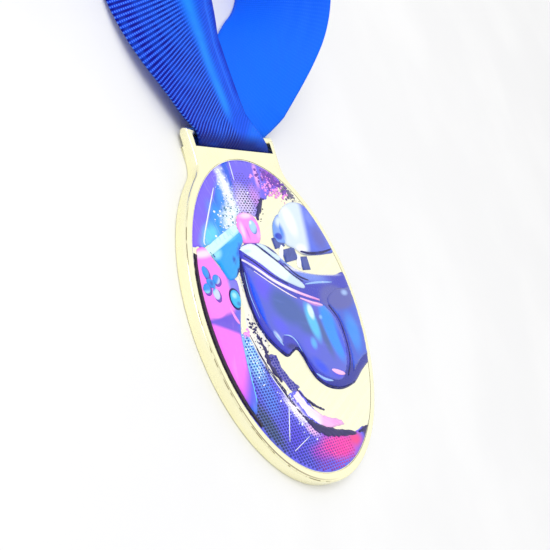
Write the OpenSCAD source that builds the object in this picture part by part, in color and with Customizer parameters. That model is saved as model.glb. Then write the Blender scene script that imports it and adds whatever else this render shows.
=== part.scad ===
// Round award medal on a neck ribbon, lying on its back with the ribbon put away in a roll.
// Millimetres. The origin is the centre of the medal's back face, +Z out of the printed face,
// +Y towards the lug.

/* [Medal] */
// Diameter of the disc
disc_d = 70; // [66:1:76]
// Thickness of the disc and lug
disc_t = 2.6; // [2.6:0.1:3]
// Radius of the rounded rim edges
rim_round = 0.4; // [0.2:0.05:0.6]
// Width of the bare metal margin round the printed face
margin_w = 1.9; // [1.5:0.1:3]
// Depth of the recess that holds the face insert
face_recess = 0.45; // [0.4:0.05:0.6]
// Diameter of the engraving plate on the back
plate_d = 40; // [30:1:50]

/* [Lug and slot] */
// Width of the lug
lug_w = 36; // [35.4:0.1:38]
// Height of the lug above the disc
lug_rise = 4.3; // [4.3:0.1:5.5]
// Radius of the hollow blend from lug to disc
lug_blend = 5; // [3:0.5:6]
// Length of the ribbon slot
slot_l = 32.8; // [32.4:0.1:33]
// Radius of the round bar that the ribbon goes over
bar_r = 0.9; // [0.8:0.05:0.9]

/* [Ribbon] */
// Width of the ribbon
ribbon_w = 22; // [20:0.5:22]
// Thickness of the ribbon
ribbon_t = 0.45; // [0.35:0.05:0.45]
// Angle of each ribbon leg to the medal's centre line
fold_a = 43; // [38:1:43]
// Sideways place of the ribbon in the slot
ribbon_x = 0.8; // [0.5:0.1:0.8]
// Straight length of the front leg before it curves
front_straight = 24; // [20:1:30]
// Radius of the rolled-up length
roll_r = 11.3; // [9:0.1:13]

/* [Print relief] */
// Thickness of the flat ink layers
ink_t = 0.06; // [0.04:0.01:0.1]
// Height of the raised controller print
pad_h = 0.3; // [0.2:0.05:0.5]
// Height of the raised headset print
visor_h = 0.45; // [0.3:0.05:0.6]
// Height of the buttons and trims built up on the raised prints
trim_h = 0.15; // [0.1:0.05:0.3]

/* [Hidden] */
$fn = 96;
eps = 0.01;
disc_r = disc_d / 2;
print_r = disc_r - margin_w;
insert_t = 0.3;
film_t = 0.1;
seat_gap = 0.1;
face_z = disc_t - face_recess + film_t + insert_t;
plate_t = 0.4;
plate_r = plate_d / 2;

// Lug: the bar stands at the lug's outer edge, raised so that the ribbon passes beneath it.
lug_top = disc_r + lug_rise;
bar_y = lug_top - bar_r;
bar_z = disc_t - bar_r;
slot_y = disc_r + 0.2;
step_y = disc_r + 0.7;
bar_chamfer = 0.3;
blend_x = lug_w / 2 + lug_blend;
blend_y = sqrt(pow(disc_r + lug_blend, 2) - pow(blend_x, 2));
touch = disc_r / (disc_r + lug_blend);

// Ribbon: a loose turn round the bar, wrap_r above and beneath it and loop_r into the slot, then two
// legs that turn on edge and run into the roll. The ribbon is gathered a little where it turns.
wrap_gap = 0.12;
wrap_r = bar_r + wrap_gap + ribbon_t / 2;
loop_r = 2.7;
wrap_shift = PI / 2 * wrap_r * tan(fold_a);
wrap_half = 13.9;
slot_half = 14.7;
half_w = ribbon_w / 2;
slant_l = 16;
gather = wrap_half * cos(fold_a) / half_w;
front_top_z = bar_z + wrap_r;
back_low_z = bar_z - wrap_r;
edge_z = 0.02;
roll_z = 0.4;
settle_l = 25;
descent_start = 18;
descent_l = 26;
arc_a = 90 + fold_a;
arc_x = cos(fold_a);
arc_y = 1 + sin(fold_a);
leg_r = roll_r + ribbon_t / 2 - 0.05;
front_x = ribbon_x - wrap_shift;
back_x = ribbon_x + wrap_shift;
front_arc = (front_straight * sin(fold_a) - front_x) / arc_x;
roll_y = bar_y + front_straight * cos(fold_a) + arc_y * front_arc + leg_r;
back_rise = roll_y + leg_r - bar_y - arc_y * back_x / arc_x;
back_straight = back_rise / (cos(fold_a) + arc_y * sin(fold_a) / arc_x);
back_arc = (back_x + back_straight * sin(fold_a)) / arc_x;
front_twist = [4, 60];
back_twist = [6, 54];
twist_ease = 0.3;
front_rings = 27;
back_rings = 36;
wrap_rings = 12;
tie_w = 1.6;
tie_t = 0.35;
tie_in = 1.5;
tie_a = -30;

// Outlines of the printed relief, in the plane of the face. Each is a closed curve.
curve_steps = 4;
visor_outline = [
    [-12, 13.5], [-5, 14.8], [2, 12.5], [8, 9.6], [14, 8], [22, 7.4], [30, 6.8], [36, 4],
    [36, -12], [29, -12.6], [23, -14.5], [18, -16.1], [13, -16.7], [8, -15.8], [3.5, -13.5],
    [1.5, -11.2], [0, -8.8], [-2.2, -7.4], [-6, -8], [-9, -6.5], [-11.2, -4], [-13, 0],
    [-13.9, 5], [-13.9, 10]
];
plate_outline = [
    [-10.6, 13.2], [-5, 14.4], [1, 12.6], [6, 10], [10, 7.8], [11, 6.2], [9.4, 5.4],
    [5, 7.2], [0, 9.2], [-5, 11.2]
];
trim_outline = [
    [-13, 11.6], [-11.5, 11.4], [-5, 8.4], [2, 5.6], [10, 3.6], [17, 2], [17, 1],
    [10, 1.6], [2, 3.6], [-5, 6.2], [-11.5, 9.6], [-13.2, 10.6]
];
cushion_outline = [
    [9, 14.4], [8.4, 17.6], [11, 20.6], [15.5, 22], [21, 22.4], [25, 21.4], [27.6, 17.6],
    [29.4, 13.6], [26, 12.5], [18, 12.3], [14.6, 12.4], [12, 13.6]
];
arm_outline = [
    [4.2, 16.2], [5.2, 18], [8, 20], [11.4, 21.6], [9.4, 18.4], [9, 15.4], [6.8, 15.3]
];
shell_outline = [
    [-31, 12.4], [-26, 14.1], [-22, 13.6], [-20.6, 11], [-19, 8.4], [-16.4, 8.2], [-16.6, 5.6],
    [-17.8, 2.6], [-20.2, -0.6], [-21.8, -5], [-22.8, -11], [-24, -15.8], [-26, -17.4],
    [-28.2, -14], [-30.2, -8], [-31.4, 0], [-31.6, 7]
];
touch_outline = [
    [-22.4, 14], [-17, 15.8], [-10.2, 17.2], [-9.4, 14.8], [-13.6, 12.4], [-16, 9], [-19, 7.9],
    [-20.8, 10.6]
];
shoulder_outline = [
    [-9, 15.2], [-9.6, 18.8], [-6.4, 21], [-2.8, 21.4], [-0.8, 20.2], [-1.6, 17.8], [-3, 15.8],
    [-6, 15.2]
];
upper_edge = [
    [-40, 15.2], [-22.4, 14.4], [-16, 16.4], [-10.2, 17.6], [-8.8, 21.2], [-3, 22], [-0.6, 21.4],
    [3.4, 25.2], [9, 25.8], [14, 26.8], [20, 40], [-40, 40]
];
lower_edge = [
    [-40, -18.4], [-26, -18], [-23.6, -15.8], [-22.2, -9], [-21, -3], [-17.6, -4.6], [-14.8, -8],
    [-10.4, -8.2], [-9.4, -11], [-5, -15.2], [-9.4, -15.6], [-8, -19.4], [-3, -23.4], [4, -25],
    [13, -27], [22, -27.4], [22, -40], [-40, -40]
];
splash_outline = [
    [-16, 7.6], [-14.4, 8.6], [-14.2, 3], [-13.4, -1], [-11.4, -4.6], [-11.2, -7.6],
    [-14.4, -7.2], [-17.4, -4], [-19.8, -2.4], [-17.6, 2]
];
stroke_inner = [[-6.6, -15.9], [-3.4, -18.4], [2.2, -20.6], [-0.6, -18.6], [-4.6, -16]];
stroke_outer = [
    [-8.6, -16.4], [-7.4, -19.6], [-2.8, -23.1], [4.2, -24.7], [12.8, -26.7], [3.2, -23.9],
    [-2.6, -22.1], [-6.6, -18.6]
];
stroke_upper = [[-0.2, 20.8], [1.8, 22.8], [4.4, 24.8], [2.6, 22.4], [0.6, 20.6]];

// ---- Helpers ----

// Point of a Catmull-Rom span from b to c, at u from 0 to 1
function span_point(a, b, c, d, u) = 0.5 * (2 * b + (c - a) * u
    + (2 * a - 5 * b + 4 * c - d) * u * u + (3 * b - a - 3 * c + d) * u * u * u);

// Closed smooth curve through a list of points
function closed_curve(p) = let (n = len(p)) [
    for (i = [0:n - 1], k = [0:curve_steps - 1])
        span_point(p[(i + n - 1) % n], p[i], p[(i + 1) % n], p[(i + 2) % n], k / curve_steps)
];

// Smooth step from 0 to 1 as x goes from 0 to 1
function eased(x) = let (u = min(1, max(0, x))) u * u * (3 - 2 * u);

function unit(v) = v / norm(v);

// A closed curve filled in, clipped to the printed circle
module outline(points) {
    intersection() {
        polygon(closed_curve(points));
        circle(r = print_r - seat_gap);
    }
}

// A straight-sided shape filled in, clipped to the printed circle
module region(points) {
    intersection() {
        polygon(points);
        circle(r = print_r - seat_gap);
    }
}

// A printed layer of height h that starts at height z above the back face
module layer(z, h) {
    translate([0, 0, z]) linear_extrude(h) children();
}

// ---- Medal ----

// Plan of the lug up to the bar, with hollow blends into the disc
module lug_plan() {
    translate([-lug_w / 2, disc_r / 2]) square([lug_w, bar_y - disc_r / 2]);
    for (side = [0, 1]) mirror([side, 0]) difference() {
        translate([lug_w / 2 - eps, disc_r / 2])
            square([blend_x * touch - lug_w / 2 + eps, blend_y - disc_r / 2]);
        translate([blend_x, blend_y]) circle(r = lug_blend);
    }
}

// Round bar across the end of the lug
module bar() {
    length = lug_w - 2 * bar_chamfer;
    translate([-lug_w / 2, bar_y, bar_z]) rotate([0, 90, 0]) {
        cylinder(r1 = bar_r - bar_chamfer, r2 = bar_r, h = bar_chamfer);
        translate([0, 0, bar_chamfer]) cylinder(r = bar_r, h = length);
        translate([0, 0, bar_chamfer + length])
            cylinder(r1 = bar_r, r2 = bar_r - bar_chamfer, h = bar_chamfer);
    }
}

// Round blank with softened rim edges
module disc_blank() {
    rotate_extrude() {
        square([disc_r - rim_round, disc_t]);
        translate([0, rim_round]) square([disc_r, disc_t - 2 * rim_round]);
        for (z = [rim_round, disc_t - rim_round])
            translate([disc_r - rim_round, z]) circle(r = rim_round, $fn = 32);
    }
}

module medal_body() {
    color("gold") difference() {
        union() {
            disc_blank();
            difference() {
                linear_extrude(disc_t) lug_plan();
                translate([-slot_l / 2, slot_y, -eps])
                    cube([slot_l, lug_top, disc_t + 2 * eps]);
                translate([-lug_w, step_y, -eps]) cube([2 * lug_w, lug_w, bar_z - bar_r + eps]);
            }
            bar();
        }
        translate([0, 0, disc_t - face_recess]) cylinder(r = print_r + seat_gap, h = disc_t);
        translate([0, 0, -eps]) cylinder(r = plate_r + seat_gap, h = plate_t + film_t + eps);
    }
}

module insert_adhesive() {
    color("white") layer(disc_t - face_recess, film_t) circle(r = print_r - seat_gap);
}

module face_insert() {
    color("khaki") layer(face_z - insert_t, insert_t) circle(r = print_r);
}

module plate_adhesive() {
    color("white") layer(plate_t, film_t) circle(r = plate_r - seat_gap);
}

module engraving_plate() {
    color("goldenrod") layer(0, plate_t) circle(r = plate_r);
}

// ---- Printed relief ----

module controller_plan() {
    outline(shell_outline);
    outline(touch_outline);
    outline(shoulder_outline);
}

module headset_plan() {
    outline(visor_outline);
    outline(cushion_outline);
    outline(arm_outline);
}

module strokes_plan() {
    outline(stroke_inner);
    outline(stroke_outer);
    outline(stroke_upper);
}

module ink_upper_panel() {
    color("mediumpurple") layer(face_z, ink_t) difference() {
        region(upper_edge);
        controller_plan();
        strokes_plan();
    }
}

module ink_lower_panel() {
    color("mediumblue") layer(face_z, ink_t) difference() {
        region(lower_edge);
        controller_plan();
        headset_plan();
        strokes_plan();
    }
}

module ink_splash() {
    color("lavender") layer(face_z, ink_t) difference() {
        outline(splash_outline);
        region(lower_edge);
        controller_plan();
        headset_plan();
    }
}

module ink_brush_strokes() {
    color("midnightblue") layer(face_z, ink_t) strokes_plan();
}

module pad_shell() {
    color("orchid") layer(face_z, pad_h) difference() {
        outline(shell_outline);
        outline(touch_outline);
    }
}

module pad_touch_panel() {
    color("deepskyblue") layer(face_z, pad_h) difference() {
        outline(touch_outline);
        outline(visor_outline);
    }
}

// Four oval direction keys round one centre
module pad_direction_keys() {
    centre = [-27.3, 7.2];
    reach = 2.1;
    key_r = 1.05;
    key_l = 0.9;
    color("dodgerblue") layer(face_z + pad_h, trim_h) translate(centre)
        for (turn = [30:90:300]) rotate(turn) translate([reach, 0]) {
            circle(r = key_r, $fn = 32);
            translate([-key_l, -key_r / 2]) square([key_l, key_r]);
        }
}

module pad_thumb_stick() {
    color("steelblue") layer(face_z + pad_h, trim_h) translate([-20.3, 3.8]) circle(r = 1.8);
}

module pad_shoulder() {
    color("hotpink") layer(face_z, pad_h) difference() {
        outline(shoulder_outline);
        outline(touch_outline);
    }
}

module pad_shoulder_key() {
    color("lightskyblue") layer(face_z + pad_h, trim_h) translate([-4, 18.6]) circle(r = 1.5);
}

module visor_body() {
    color("royalblue") layer(face_z, visor_h) outline(visor_outline);
}

module visor_top_plate() {
    color("aliceblue") layer(face_z + visor_h, trim_h) outline(plate_outline);
}

module visor_trim() {
    color("lavenderblush") layer(face_z + visor_h, trim_h) difference() {
        outline(trim_outline);
        outline(plate_outline);
    }
}

module head_cushion() {
    color("lightsteelblue") layer(face_z, visor_h) outline(cushion_outline);
}

module cushion_arm() {
    color("cornflowerblue") layer(face_z, visor_h) difference() {
        outline(arm_outline);
        outline(cushion_outline);
    }
}

// Links between the cushion and the visor
module strap_struts() {
    ends = [[[3.4, 13.2], [6.8, 15.6]], [[7, 11], [11, 14.4]], [[11.6, 9.8], [15.4, 12.8]]];
    strut_w = 2;
    color("slategray") layer(face_z, pad_h) difference() {
        for (e = ends) {
            run = e[1] - e[0];
            translate(e[0]) rotate(atan2(run[1], run[0]))
                translate([0, -strut_w / 2]) square([norm(run), strut_w]);
        }
        headset_plan();
    }
}

// ---- Ribbon ----

// The four corners of the ribbon where its middle is p, h goes to its right edge and n is its normal
function ring(p, h, n) = [
    p + h - n * ribbon_t / 2, p + h + n * ribbon_t / 2,
    p - h + n * ribbon_t / 2, p - h - n * ribbon_t / 2
];

// Round the bar: a is 0 at the slot, 90 above the bar and -90 beneath it
function wrap_ring(a) = ring(
    [ribbon_x - a / 90 * wrap_shift, bar_y - loop_r * cos(a), bar_z + wrap_r * sin(a)],
    [wrap_half + (slot_half - wrap_half) * cos(a), 0, 0],
    unit([0, -wrap_r * cos(a), loop_r * sin(a)]));

// A leg is a straight and then an arc. side is -1 for the front leg and 1 for the back leg.
function heading(side, t, straight, arc) =
    side * (fold_a - max(0, t - straight) / arc * 180 / PI);

function leg_plan(side, t, start, straight, arc) =
    let (s = min(t, straight), h = heading(side, t, straight, arc))
    [start + side * s * sin(fold_a), bar_y + s * cos(fold_a)]
    + (t > straight
        ? arc * [side * (cos(h) - cos(fold_a)), sin(fold_a) - side * sin(h)]
        : [0, 0]);

function twisted(t, twist) = let (u = min(1, max(0, (t - twist[0]) / twist[1])))
    90 * (u - twist_ease * sin(360 * u) / (2 * PI));

// Height of the ribbon's left edge: off the bar, down to the surface and up onto the roll's level
function left_edge_z(side, t, total, turn) =
    let (
        from = side < 0 ? front_top_z : back_low_z,
        rest = edge_z + ribbon_t / 2 * cos(turn),
        down = eased((t - descent_start) / descent_l)
    )
    from * (1 - down) + rest * down + (roll_z - edge_z) * eased((t - total + settle_l) / settle_l);

function leg_ring(side, t, start, straight, arc, twist) =
    let (
        h = heading(side, t, straight, arc),
        total = straight + arc * arc_a * PI / 180,
        along = [sin(h), cos(h), 0],
        across = [cos(h), -sin(h), 0],
        turn = twisted(t, twist),
        slant = side * tan(fold_a * max(0, 1 - t / slant_l)),
        plan = leg_plan(side, t, start, straight, arc),
        z = left_edge_z(side, t, total, turn) + half_w * sin(turn),
        width = half_w * (gather + (1 - gather) * eased(t / slant_l)),
        half = width * (across * cos(turn) + along * slant) + [0, 0, half_w * sin(turn)]
    )
    ring([plan[0], plan[1], z], half, unit(cross(half, -side * along)));

function front_leg(k) = leg_ring(-1, k / front_rings
    * (front_straight + front_arc * arc_a * PI / 180), front_x, front_straight, front_arc, front_twist);

function back_leg(k) = leg_ring(1, k / back_rings
    * (back_straight + back_arc * arc_a * PI / 180), back_x, back_straight, back_arc, back_twist);

module ribbon_strip() {
    rings = concat(
        [for (k = [back_rings:-1:1]) back_leg(k)],
        [for (k = [0:wrap_rings]) wrap_ring(-90 + 180 * k / wrap_rings)],
        [for (k = [1:front_rings]) front_leg(k)]
    );
    // The upper and lower faces are split on the same diagonal, so that they stay parallel in the twist.
    last = len(rings) - 1;
    sides = [for (i = [0:last - 1], k = [0:3], half = [0, 1])
        let (a = 4 * i + k, b = 4 * i + (k + 1) % 4, c = a + 4, d = b + 4)
        k == 3
            ? (half == 0 ? [a, b, c] : [b, d, c])
            : (half == 0 ? [a, b, d] : [a, d, c])];
    ends = [[0, 3, 2], [0, 2, 1], [4 * last, 4 * last + 1, 4 * last + 2],
        [4 * last, 4 * last + 2, 4 * last + 3]];
    color("royalblue") polyhedron([for (r = rings, p = r) p], concat(sides, ends));
}

module ribbon_roll() {
    color("royalblue") translate([0, roll_y, roll_z]) cylinder(r = roll_r, h = ribbon_w);
}

// Loop of tape through the middle of the roll and round its outside
module roll_tie() {
    inner_l = roll_r - tie_in;
    color("white") translate([0, roll_y, 0]) rotate([90, 0, tie_a]) translate([0, 0, -tie_w / 2])
        linear_extrude(tie_w) difference() {
            translate([tie_in - tie_t, eps]) square([inner_l + 2 * tie_t, ribbon_w + 2 * roll_z - eps]);
            translate([tie_in, roll_z]) square([inner_l, ribbon_w]);
        }
}

medal_body();
insert_adhesive();
face_insert();
plate_adhesive();
engraving_plate();
ink_upper_panel();
ink_lower_panel();
ink_splash();
ink_brush_strokes();
pad_shell();
pad_touch_panel();
pad_direction_keys();
pad_thumb_stick();
pad_shoulder();
pad_shoulder_key();
visor_body();
visor_top_plate();
visor_trim();
head_cushion();
cushion_arm();
strap_struts();
ribbon_strip();
ribbon_roll();
roll_tie();
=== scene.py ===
import itertools
import math
import random

import bpy
import numpy as np
from mathutils import Matrix, Vector
from mathutils.geometry import delaunay_2d_cdt


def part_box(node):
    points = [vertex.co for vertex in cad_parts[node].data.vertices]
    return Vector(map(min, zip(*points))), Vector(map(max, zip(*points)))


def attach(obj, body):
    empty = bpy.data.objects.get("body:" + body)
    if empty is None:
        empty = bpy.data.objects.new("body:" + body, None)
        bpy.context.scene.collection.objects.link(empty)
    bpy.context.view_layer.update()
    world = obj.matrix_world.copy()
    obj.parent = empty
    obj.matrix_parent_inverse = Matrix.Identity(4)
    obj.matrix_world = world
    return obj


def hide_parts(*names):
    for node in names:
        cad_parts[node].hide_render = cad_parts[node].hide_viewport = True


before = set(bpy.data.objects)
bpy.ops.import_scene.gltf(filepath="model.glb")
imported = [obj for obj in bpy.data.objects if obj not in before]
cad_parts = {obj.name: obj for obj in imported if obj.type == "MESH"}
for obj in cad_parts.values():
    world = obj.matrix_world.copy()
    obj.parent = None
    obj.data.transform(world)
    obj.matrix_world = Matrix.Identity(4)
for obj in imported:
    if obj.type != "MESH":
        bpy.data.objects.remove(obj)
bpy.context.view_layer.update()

MM = 0.001

# ---- Sizes, in millimetres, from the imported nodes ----

body_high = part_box("medal_body")[1]
insert_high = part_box("face_insert")[1]
plate_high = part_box("engraving_plate")[1]
roll_low, roll_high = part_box("ribbon_roll")

DISC_R = body_high[0] / MM
DISC_T = body_high[2] / MM
LUG_TOP = body_high[1] / MM
PRINT_R = insert_high[0] / MM
FACE_Z = insert_high[2] / MM
PLATE_R = plate_high[0] / MM
ROLL_R = (roll_high[0] - roll_low[0]) / 2 / MM
ROLL_Y = (roll_high[1] + roll_low[1]) / 2 / MM
ROLL_Z = roll_low[2] / MM
RIBBON_W = (roll_high[2] - roll_low[2]) / MM

# Driving sizes of the design that the nodes' boxes don't show
RIM_ROUND = 0.4
LUG_W = 36
LUG_BLEND = 5
BAR_CHAMFER = 0.3
SLOT_L = 32.8
BAR_R = 0.9
RECESS_DEPTH = 0.45
SEAT_GAP = 0.1
PLATE_RECESS = 0.5
SLOT_RISE = 0.2
STEP_RISE = 0.7
RIM_STEPS = 220
RIBBON_T = 0.45
FOLD_A = math.radians(43)
RIBBON_X = 0.8
FRONT_STRAIGHT = 24
WRAP_GAP = 0.12
LOOP_R = 2.7
WRAP_HALF = 13.9
SLOT_HALF = 14.7
SLANT_L = 16
EDGE_Z = 0.02
SETTLE_L = 25
DESCENT_START = 18
DESCENT_L = 26
FRONT_TWIST = (4, 60)
BACK_TWIST = (6, 54)
TWIST_EASE = 0.3
ROLL_PITCH = 1.3
ROLL_HOLE = 2.5
STATION_STEP = 0.4
RIBBON_CELLS = 28

HALF_W = RIBBON_W / 2
BAR_Y = LUG_TOP - BAR_R
BAR_Z = DISC_T - BAR_R
WRAP_R = BAR_R + WRAP_GAP + RIBBON_T / 2
WRAP_SHIFT = math.pi / 2 * WRAP_R * math.tan(FOLD_A)
LEG_R = ROLL_R + RIBBON_T / 2 - 0.05
GATHER = WRAP_HALF * math.cos(FOLD_A) / HALF_W


# ---- Camera, light and floor ----

CAMERA_AT = (-0.2523, -0.0268, 0.1271)
CAMERA_FORWARD = (0.8895, 0.1234, -0.4399)
CAMERA_UP = (0.029, 0.9457, 0.3239)
CAMERA_LENS = 91.6


def add_camera():
    """The photograph's viewpoint."""
    data = bpy.data.cameras.new("camera")
    data.lens = CAMERA_LENS
    data.sensor_width = 36
    data.clip_start = 0.01
    data.clip_end = 20
    back = -Vector(CAMERA_FORWARD).normalized()
    right = Vector(CAMERA_UP).cross(back).normalized()
    up = back.cross(right)
    turn = Matrix((right, up, back)).transposed().to_4x4()
    camera = bpy.data.objects.new("camera", data)
    camera.matrix_world = Matrix.Translation(CAMERA_AT) @ turn
    bpy.context.scene.collection.objects.link(camera)
    bpy.context.scene.camera = camera


def add_area_light(name, at, target, size, power):
    """A rectangular light that points at its target, in metres."""
    data = bpy.data.lights.new(name, "AREA")
    data.shape = "RECTANGLE"
    data.size, data.size_y = size
    data.energy = power
    light = bpy.data.objects.new(name, data)
    aim = Vector(target) - Vector(at)
    light.matrix_world = Matrix.Translation(at) @ aim.to_track_quat("-Z", "Y").to_matrix().to_4x4()
    bpy.context.scene.collection.objects.link(light)


def add_world(colour, strength):
    """Even light from all round."""
    world = bpy.data.worlds.new("studio")
    world.use_nodes = True
    background = world.node_tree.nodes["Background"]
    background.inputs["Color"].default_value = (*colour, 1)
    background.inputs["Strength"].default_value = strength
    bpy.context.scene.world = world


# ---- Meshes ----

def new_object(name, points, faces):
    """A smooth-shaded mesh object from points in millimetres."""
    mesh = bpy.data.meshes.new(name)
    mesh.from_pydata([tuple(MM * c for c in p) for p in points], [], [tuple(f) for f in faces])
    mesh.validate()
    mesh.update()
    mesh.shade_smooth()
    piece = bpy.data.objects.new(name, mesh)
    bpy.context.scene.collection.objects.link(piece)
    return piece


def apply_modifiers(piece):
    """Bakes the piece's modifiers into its mesh."""
    graph = bpy.context.evaluated_depsgraph_get()
    mesh = bpy.data.meshes.new_from_object(piece.evaluated_get(graph))
    piece.modifiers.clear()
    piece.data = mesh


def combine(piece, other, operation):
    """Applies a boolean with other, which is used up."""
    modifier = piece.modifiers.new("cut", "BOOLEAN")
    modifier.solver = "EXACT"
    modifier.operation = operation
    modifier.object = other
    bpy.context.view_layer.update()
    apply_modifiers(piece)
    bpy.data.objects.remove(other)


def smooth_by_angle(piece, degrees):
    piece.data.set_sharp_from_angle(angle=math.radians(degrees))


def lofted(name, rings, closed=False):
    """A skin over rings of points that all turn the same way, with flat ends unless it closes on itself."""
    n = len(rings[0])
    points = [p for ring in rings for p in ring]
    faces = []
    for row in range(len(rings) if closed else len(rings) - 1):
        first, second = row * n, (row + 1) % len(rings) * n
        for k in range(n):
            j = (k + 1) % n
            faces.append((first + k, first + j, second + j, second + k))
    if not closed:
        faces += [tuple(range(n - 1, -1, -1)), tuple(range(len(points) - n, len(points)))]
    return new_object(name, points, faces)


def outward(outline):
    """Unit vectors out of a closed outline that turns anticlockwise."""
    run = np.roll(outline, -1, 0) - np.roll(outline, 1, 0)
    return np.stack([run[:, 1], -run[:, 0]], 1) / np.maximum(np.linalg.norm(run, axis=1), 1e-9)[:, None]


def turned(x, y, degrees):
    """A place turned about the origin."""
    a = math.radians(degrees)
    return x * math.cos(a) - y * math.sin(a), x * math.sin(a) + y * math.cos(a)


def arc_points(centre, radius, start, end, count):
    """Points on an arc, start and end in degrees."""
    angles = np.radians(np.linspace(start, end, count))
    return [(centre[0] + radius * math.cos(a), centre[1] + radius * math.sin(a)) for a in angles]


def closed_curve(points, steps):
    """Closed Catmull-Rom curve through the points."""
    p = np.array(points, float)
    before, after, beyond = np.roll(p, 1, 0), np.roll(p, -1, 0), np.roll(p, -2, 0)
    out = []
    for k in range(steps):
        u = k / steps
        out.append(0.5 * (2 * p + (after - before) * u
                          + (2 * before - 5 * p + 4 * after - beyond) * u * u
                          + (3 * p - before - 3 * after + beyond) * u ** 3))
    return np.stack(out, 1).reshape(-1, 2)


def distance_to_line(points, line):
    """Distance of each point from a closed polyline."""
    points, line = np.asarray(points, float), np.asarray(line, float)
    best = np.full(len(points), 1e9)
    for start, end in zip(line, np.roll(line, -1, 0)):
        run = end - start
        along = np.clip(((points - start) @ run) / max(run @ run, 1e-12), 0, 1)
        best = np.minimum(best, np.linalg.norm(points - start - along[:, None] * run, axis=1))
    return best


def inside(points, outline):
    """Which points are inside a closed outline."""
    points, outline = np.asarray(points, float), np.asarray(outline, float)
    x, y = points[:, 0], points[:, 1]
    hit = np.zeros(len(points), bool)
    for (x0, y0), (x1, y1) in zip(outline, np.roll(outline, -1, 0)):
        crosses = (y0 > y) != (y1 > y)
        hit ^= crosses & (x < (x1 - x0) * (y - y0) / (y1 - y0 + 1e-12) + x0)
    return hit


def clipped(outline, radius):
    """The outline with what is outside a circle drawn in to it."""
    outline = np.asarray(outline, float)
    reach = np.linalg.norm(outline, axis=1)
    return outline * np.minimum(1, radius / reach)[:, None]


def filled(outline, spacing):
    """Triangles that fill an outline, with inner points on a grid. Gives points, triangles."""
    low, high = outline.min(0), outline.max(0)
    xs = np.arange(low[0] + spacing / 2, high[0], spacing)
    ys = np.arange(low[1] + spacing / 2, high[1], spacing * 0.866)
    grid = np.array([(x + (k % 2) * spacing / 2, y) for k, y in enumerate(ys) for x in xs])
    grid = grid[inside(grid, outline) & (distance_to_line(grid, outline) > spacing * 0.55)]
    edges = [(k, (k + 1) % len(outline)) for k in range(len(outline))]
    points = [Vector(p) for p in (*outline, *grid)]
    out = delaunay_2d_cdt(points, edges, [], 1, 1e-5)
    return np.array([tuple(p) for p in out[0]]), [tuple(f) for f in out[2]]


def boundary_edges(faces):
    """Edges that only one face has, in that face's direction."""
    seen = {}
    for face in faces:
        for edge in zip(face, (*face[1:], face[0])):
            seen[edge] = True
    return [(a, b) for a, b in seen if (b, a) not in seen]


# ---- Medal body ----

def body_outline():
    """Plan of disc and lug, anticlockwise from the lug's right side."""
    blend_x = LUG_W / 2 + LUG_BLEND
    blend_y = math.sqrt((DISC_R + LUG_BLEND) ** 2 - blend_x ** 2)
    meet = math.degrees(math.atan2(blend_y, blend_x))
    right = arc_points((blend_x, blend_y), LUG_BLEND, 180 + meet, 180, 10)
    right += [(LUG_W / 2, BAR_Y)]
    left = [(-x, y) for x, y in reversed(right)]
    return right + left + arc_points((0, 0), DISC_R, 180 - meet, 360 + meet, RIM_STEPS)[1:-1]


def rounded_slab(name, outline, height, rounding):
    """A closed slab that stands on the floor, with rounded outer edges."""
    outline = np.array(outline)
    corner = [(rounding * (1 - math.cos(a)), rounding * (1 - math.sin(a)))
              for a in np.radians(np.linspace(0, 90, 6))]
    profile = corner[::-1] + [(inset, height - z) for inset, z in corner]
    away = outward(outline)
    return lofted(name, [[(x, y, z) for x, y in outline - away * inset] for inset, z in profile])


def box_object(name, low, high):
    """A box between two opposite corners, used as a cutter."""
    corners = list(itertools.product(*zip(low, high)))
    faces = [(0, 1, 3, 2), (4, 6, 7, 5), (0, 4, 5, 1), (2, 3, 7, 6), (0, 2, 6, 4), (1, 5, 7, 3)]
    return new_object(name, corners, faces)


def disc_object(name, radius, z_low, z_high):
    """A plain disc on the medal's axis, used as a cutter."""
    ring = arc_points((0, 0), radius, 0, 360, RIM_STEPS + 1)[:-1]
    return lofted(name, [[(x, y, z) for x, y in ring] for z in (z_low, z_high)])


def bar_object():
    """Round bar along the slot, with a rounded edge at each end."""
    half = LUG_W / 2
    around = 48
    end = [(half - BAR_CHAMFER * (1 - math.cos(a)), BAR_R - BAR_CHAMFER * (1 - math.sin(a)))
           for a in np.radians(np.linspace(0, 90, 6))]
    stations = end + [(-x, r) for x, r in reversed(end)]
    turns = [2 * math.pi * k / around for k in range(around)]
    return lofted("bar", [[(x, BAR_Y + r * math.cos(a), BAR_Z + r * math.sin(a)) for a in turns]
                          for x, r in stations])


def make_body():
    """The gold blank: disc and lug, with the slot, the stepped bar and the two recesses."""
    past = 1
    top = LUG_TOP + 10
    body = rounded_slab("gold_body", body_outline(), DISC_T, RIM_ROUND)
    slot = box_object("slot", (-SLOT_L / 2, DISC_R + SLOT_RISE, -past), (SLOT_L / 2, top, DISC_T + past))
    combine(body, slot, "DIFFERENCE")
    step = box_object("step", (-LUG_W, DISC_R + STEP_RISE, -past), (LUG_W, top, BAR_Z - BAR_R))
    combine(body, step, "DIFFERENCE")
    combine(body, bar_object(), "UNION")
    recess = disc_object("recess", PRINT_R + SEAT_GAP, DISC_T - RECESS_DEPTH, DISC_T + past)
    combine(body, recess, "DIFFERENCE")
    combine(body, disc_object("back_recess", PLATE_R + SEAT_GAP, -past, PLATE_RECESS), "DIFFERENCE")
    body.data.shade_smooth()
    smooth_by_angle(body, 32)
    return body


# ---- Ribbon ----

def eased(x):
    """Smooth step from 0 to 1."""
    u = np.clip(x, 0, 1)
    return u * u * (3 - 2 * u)


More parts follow.
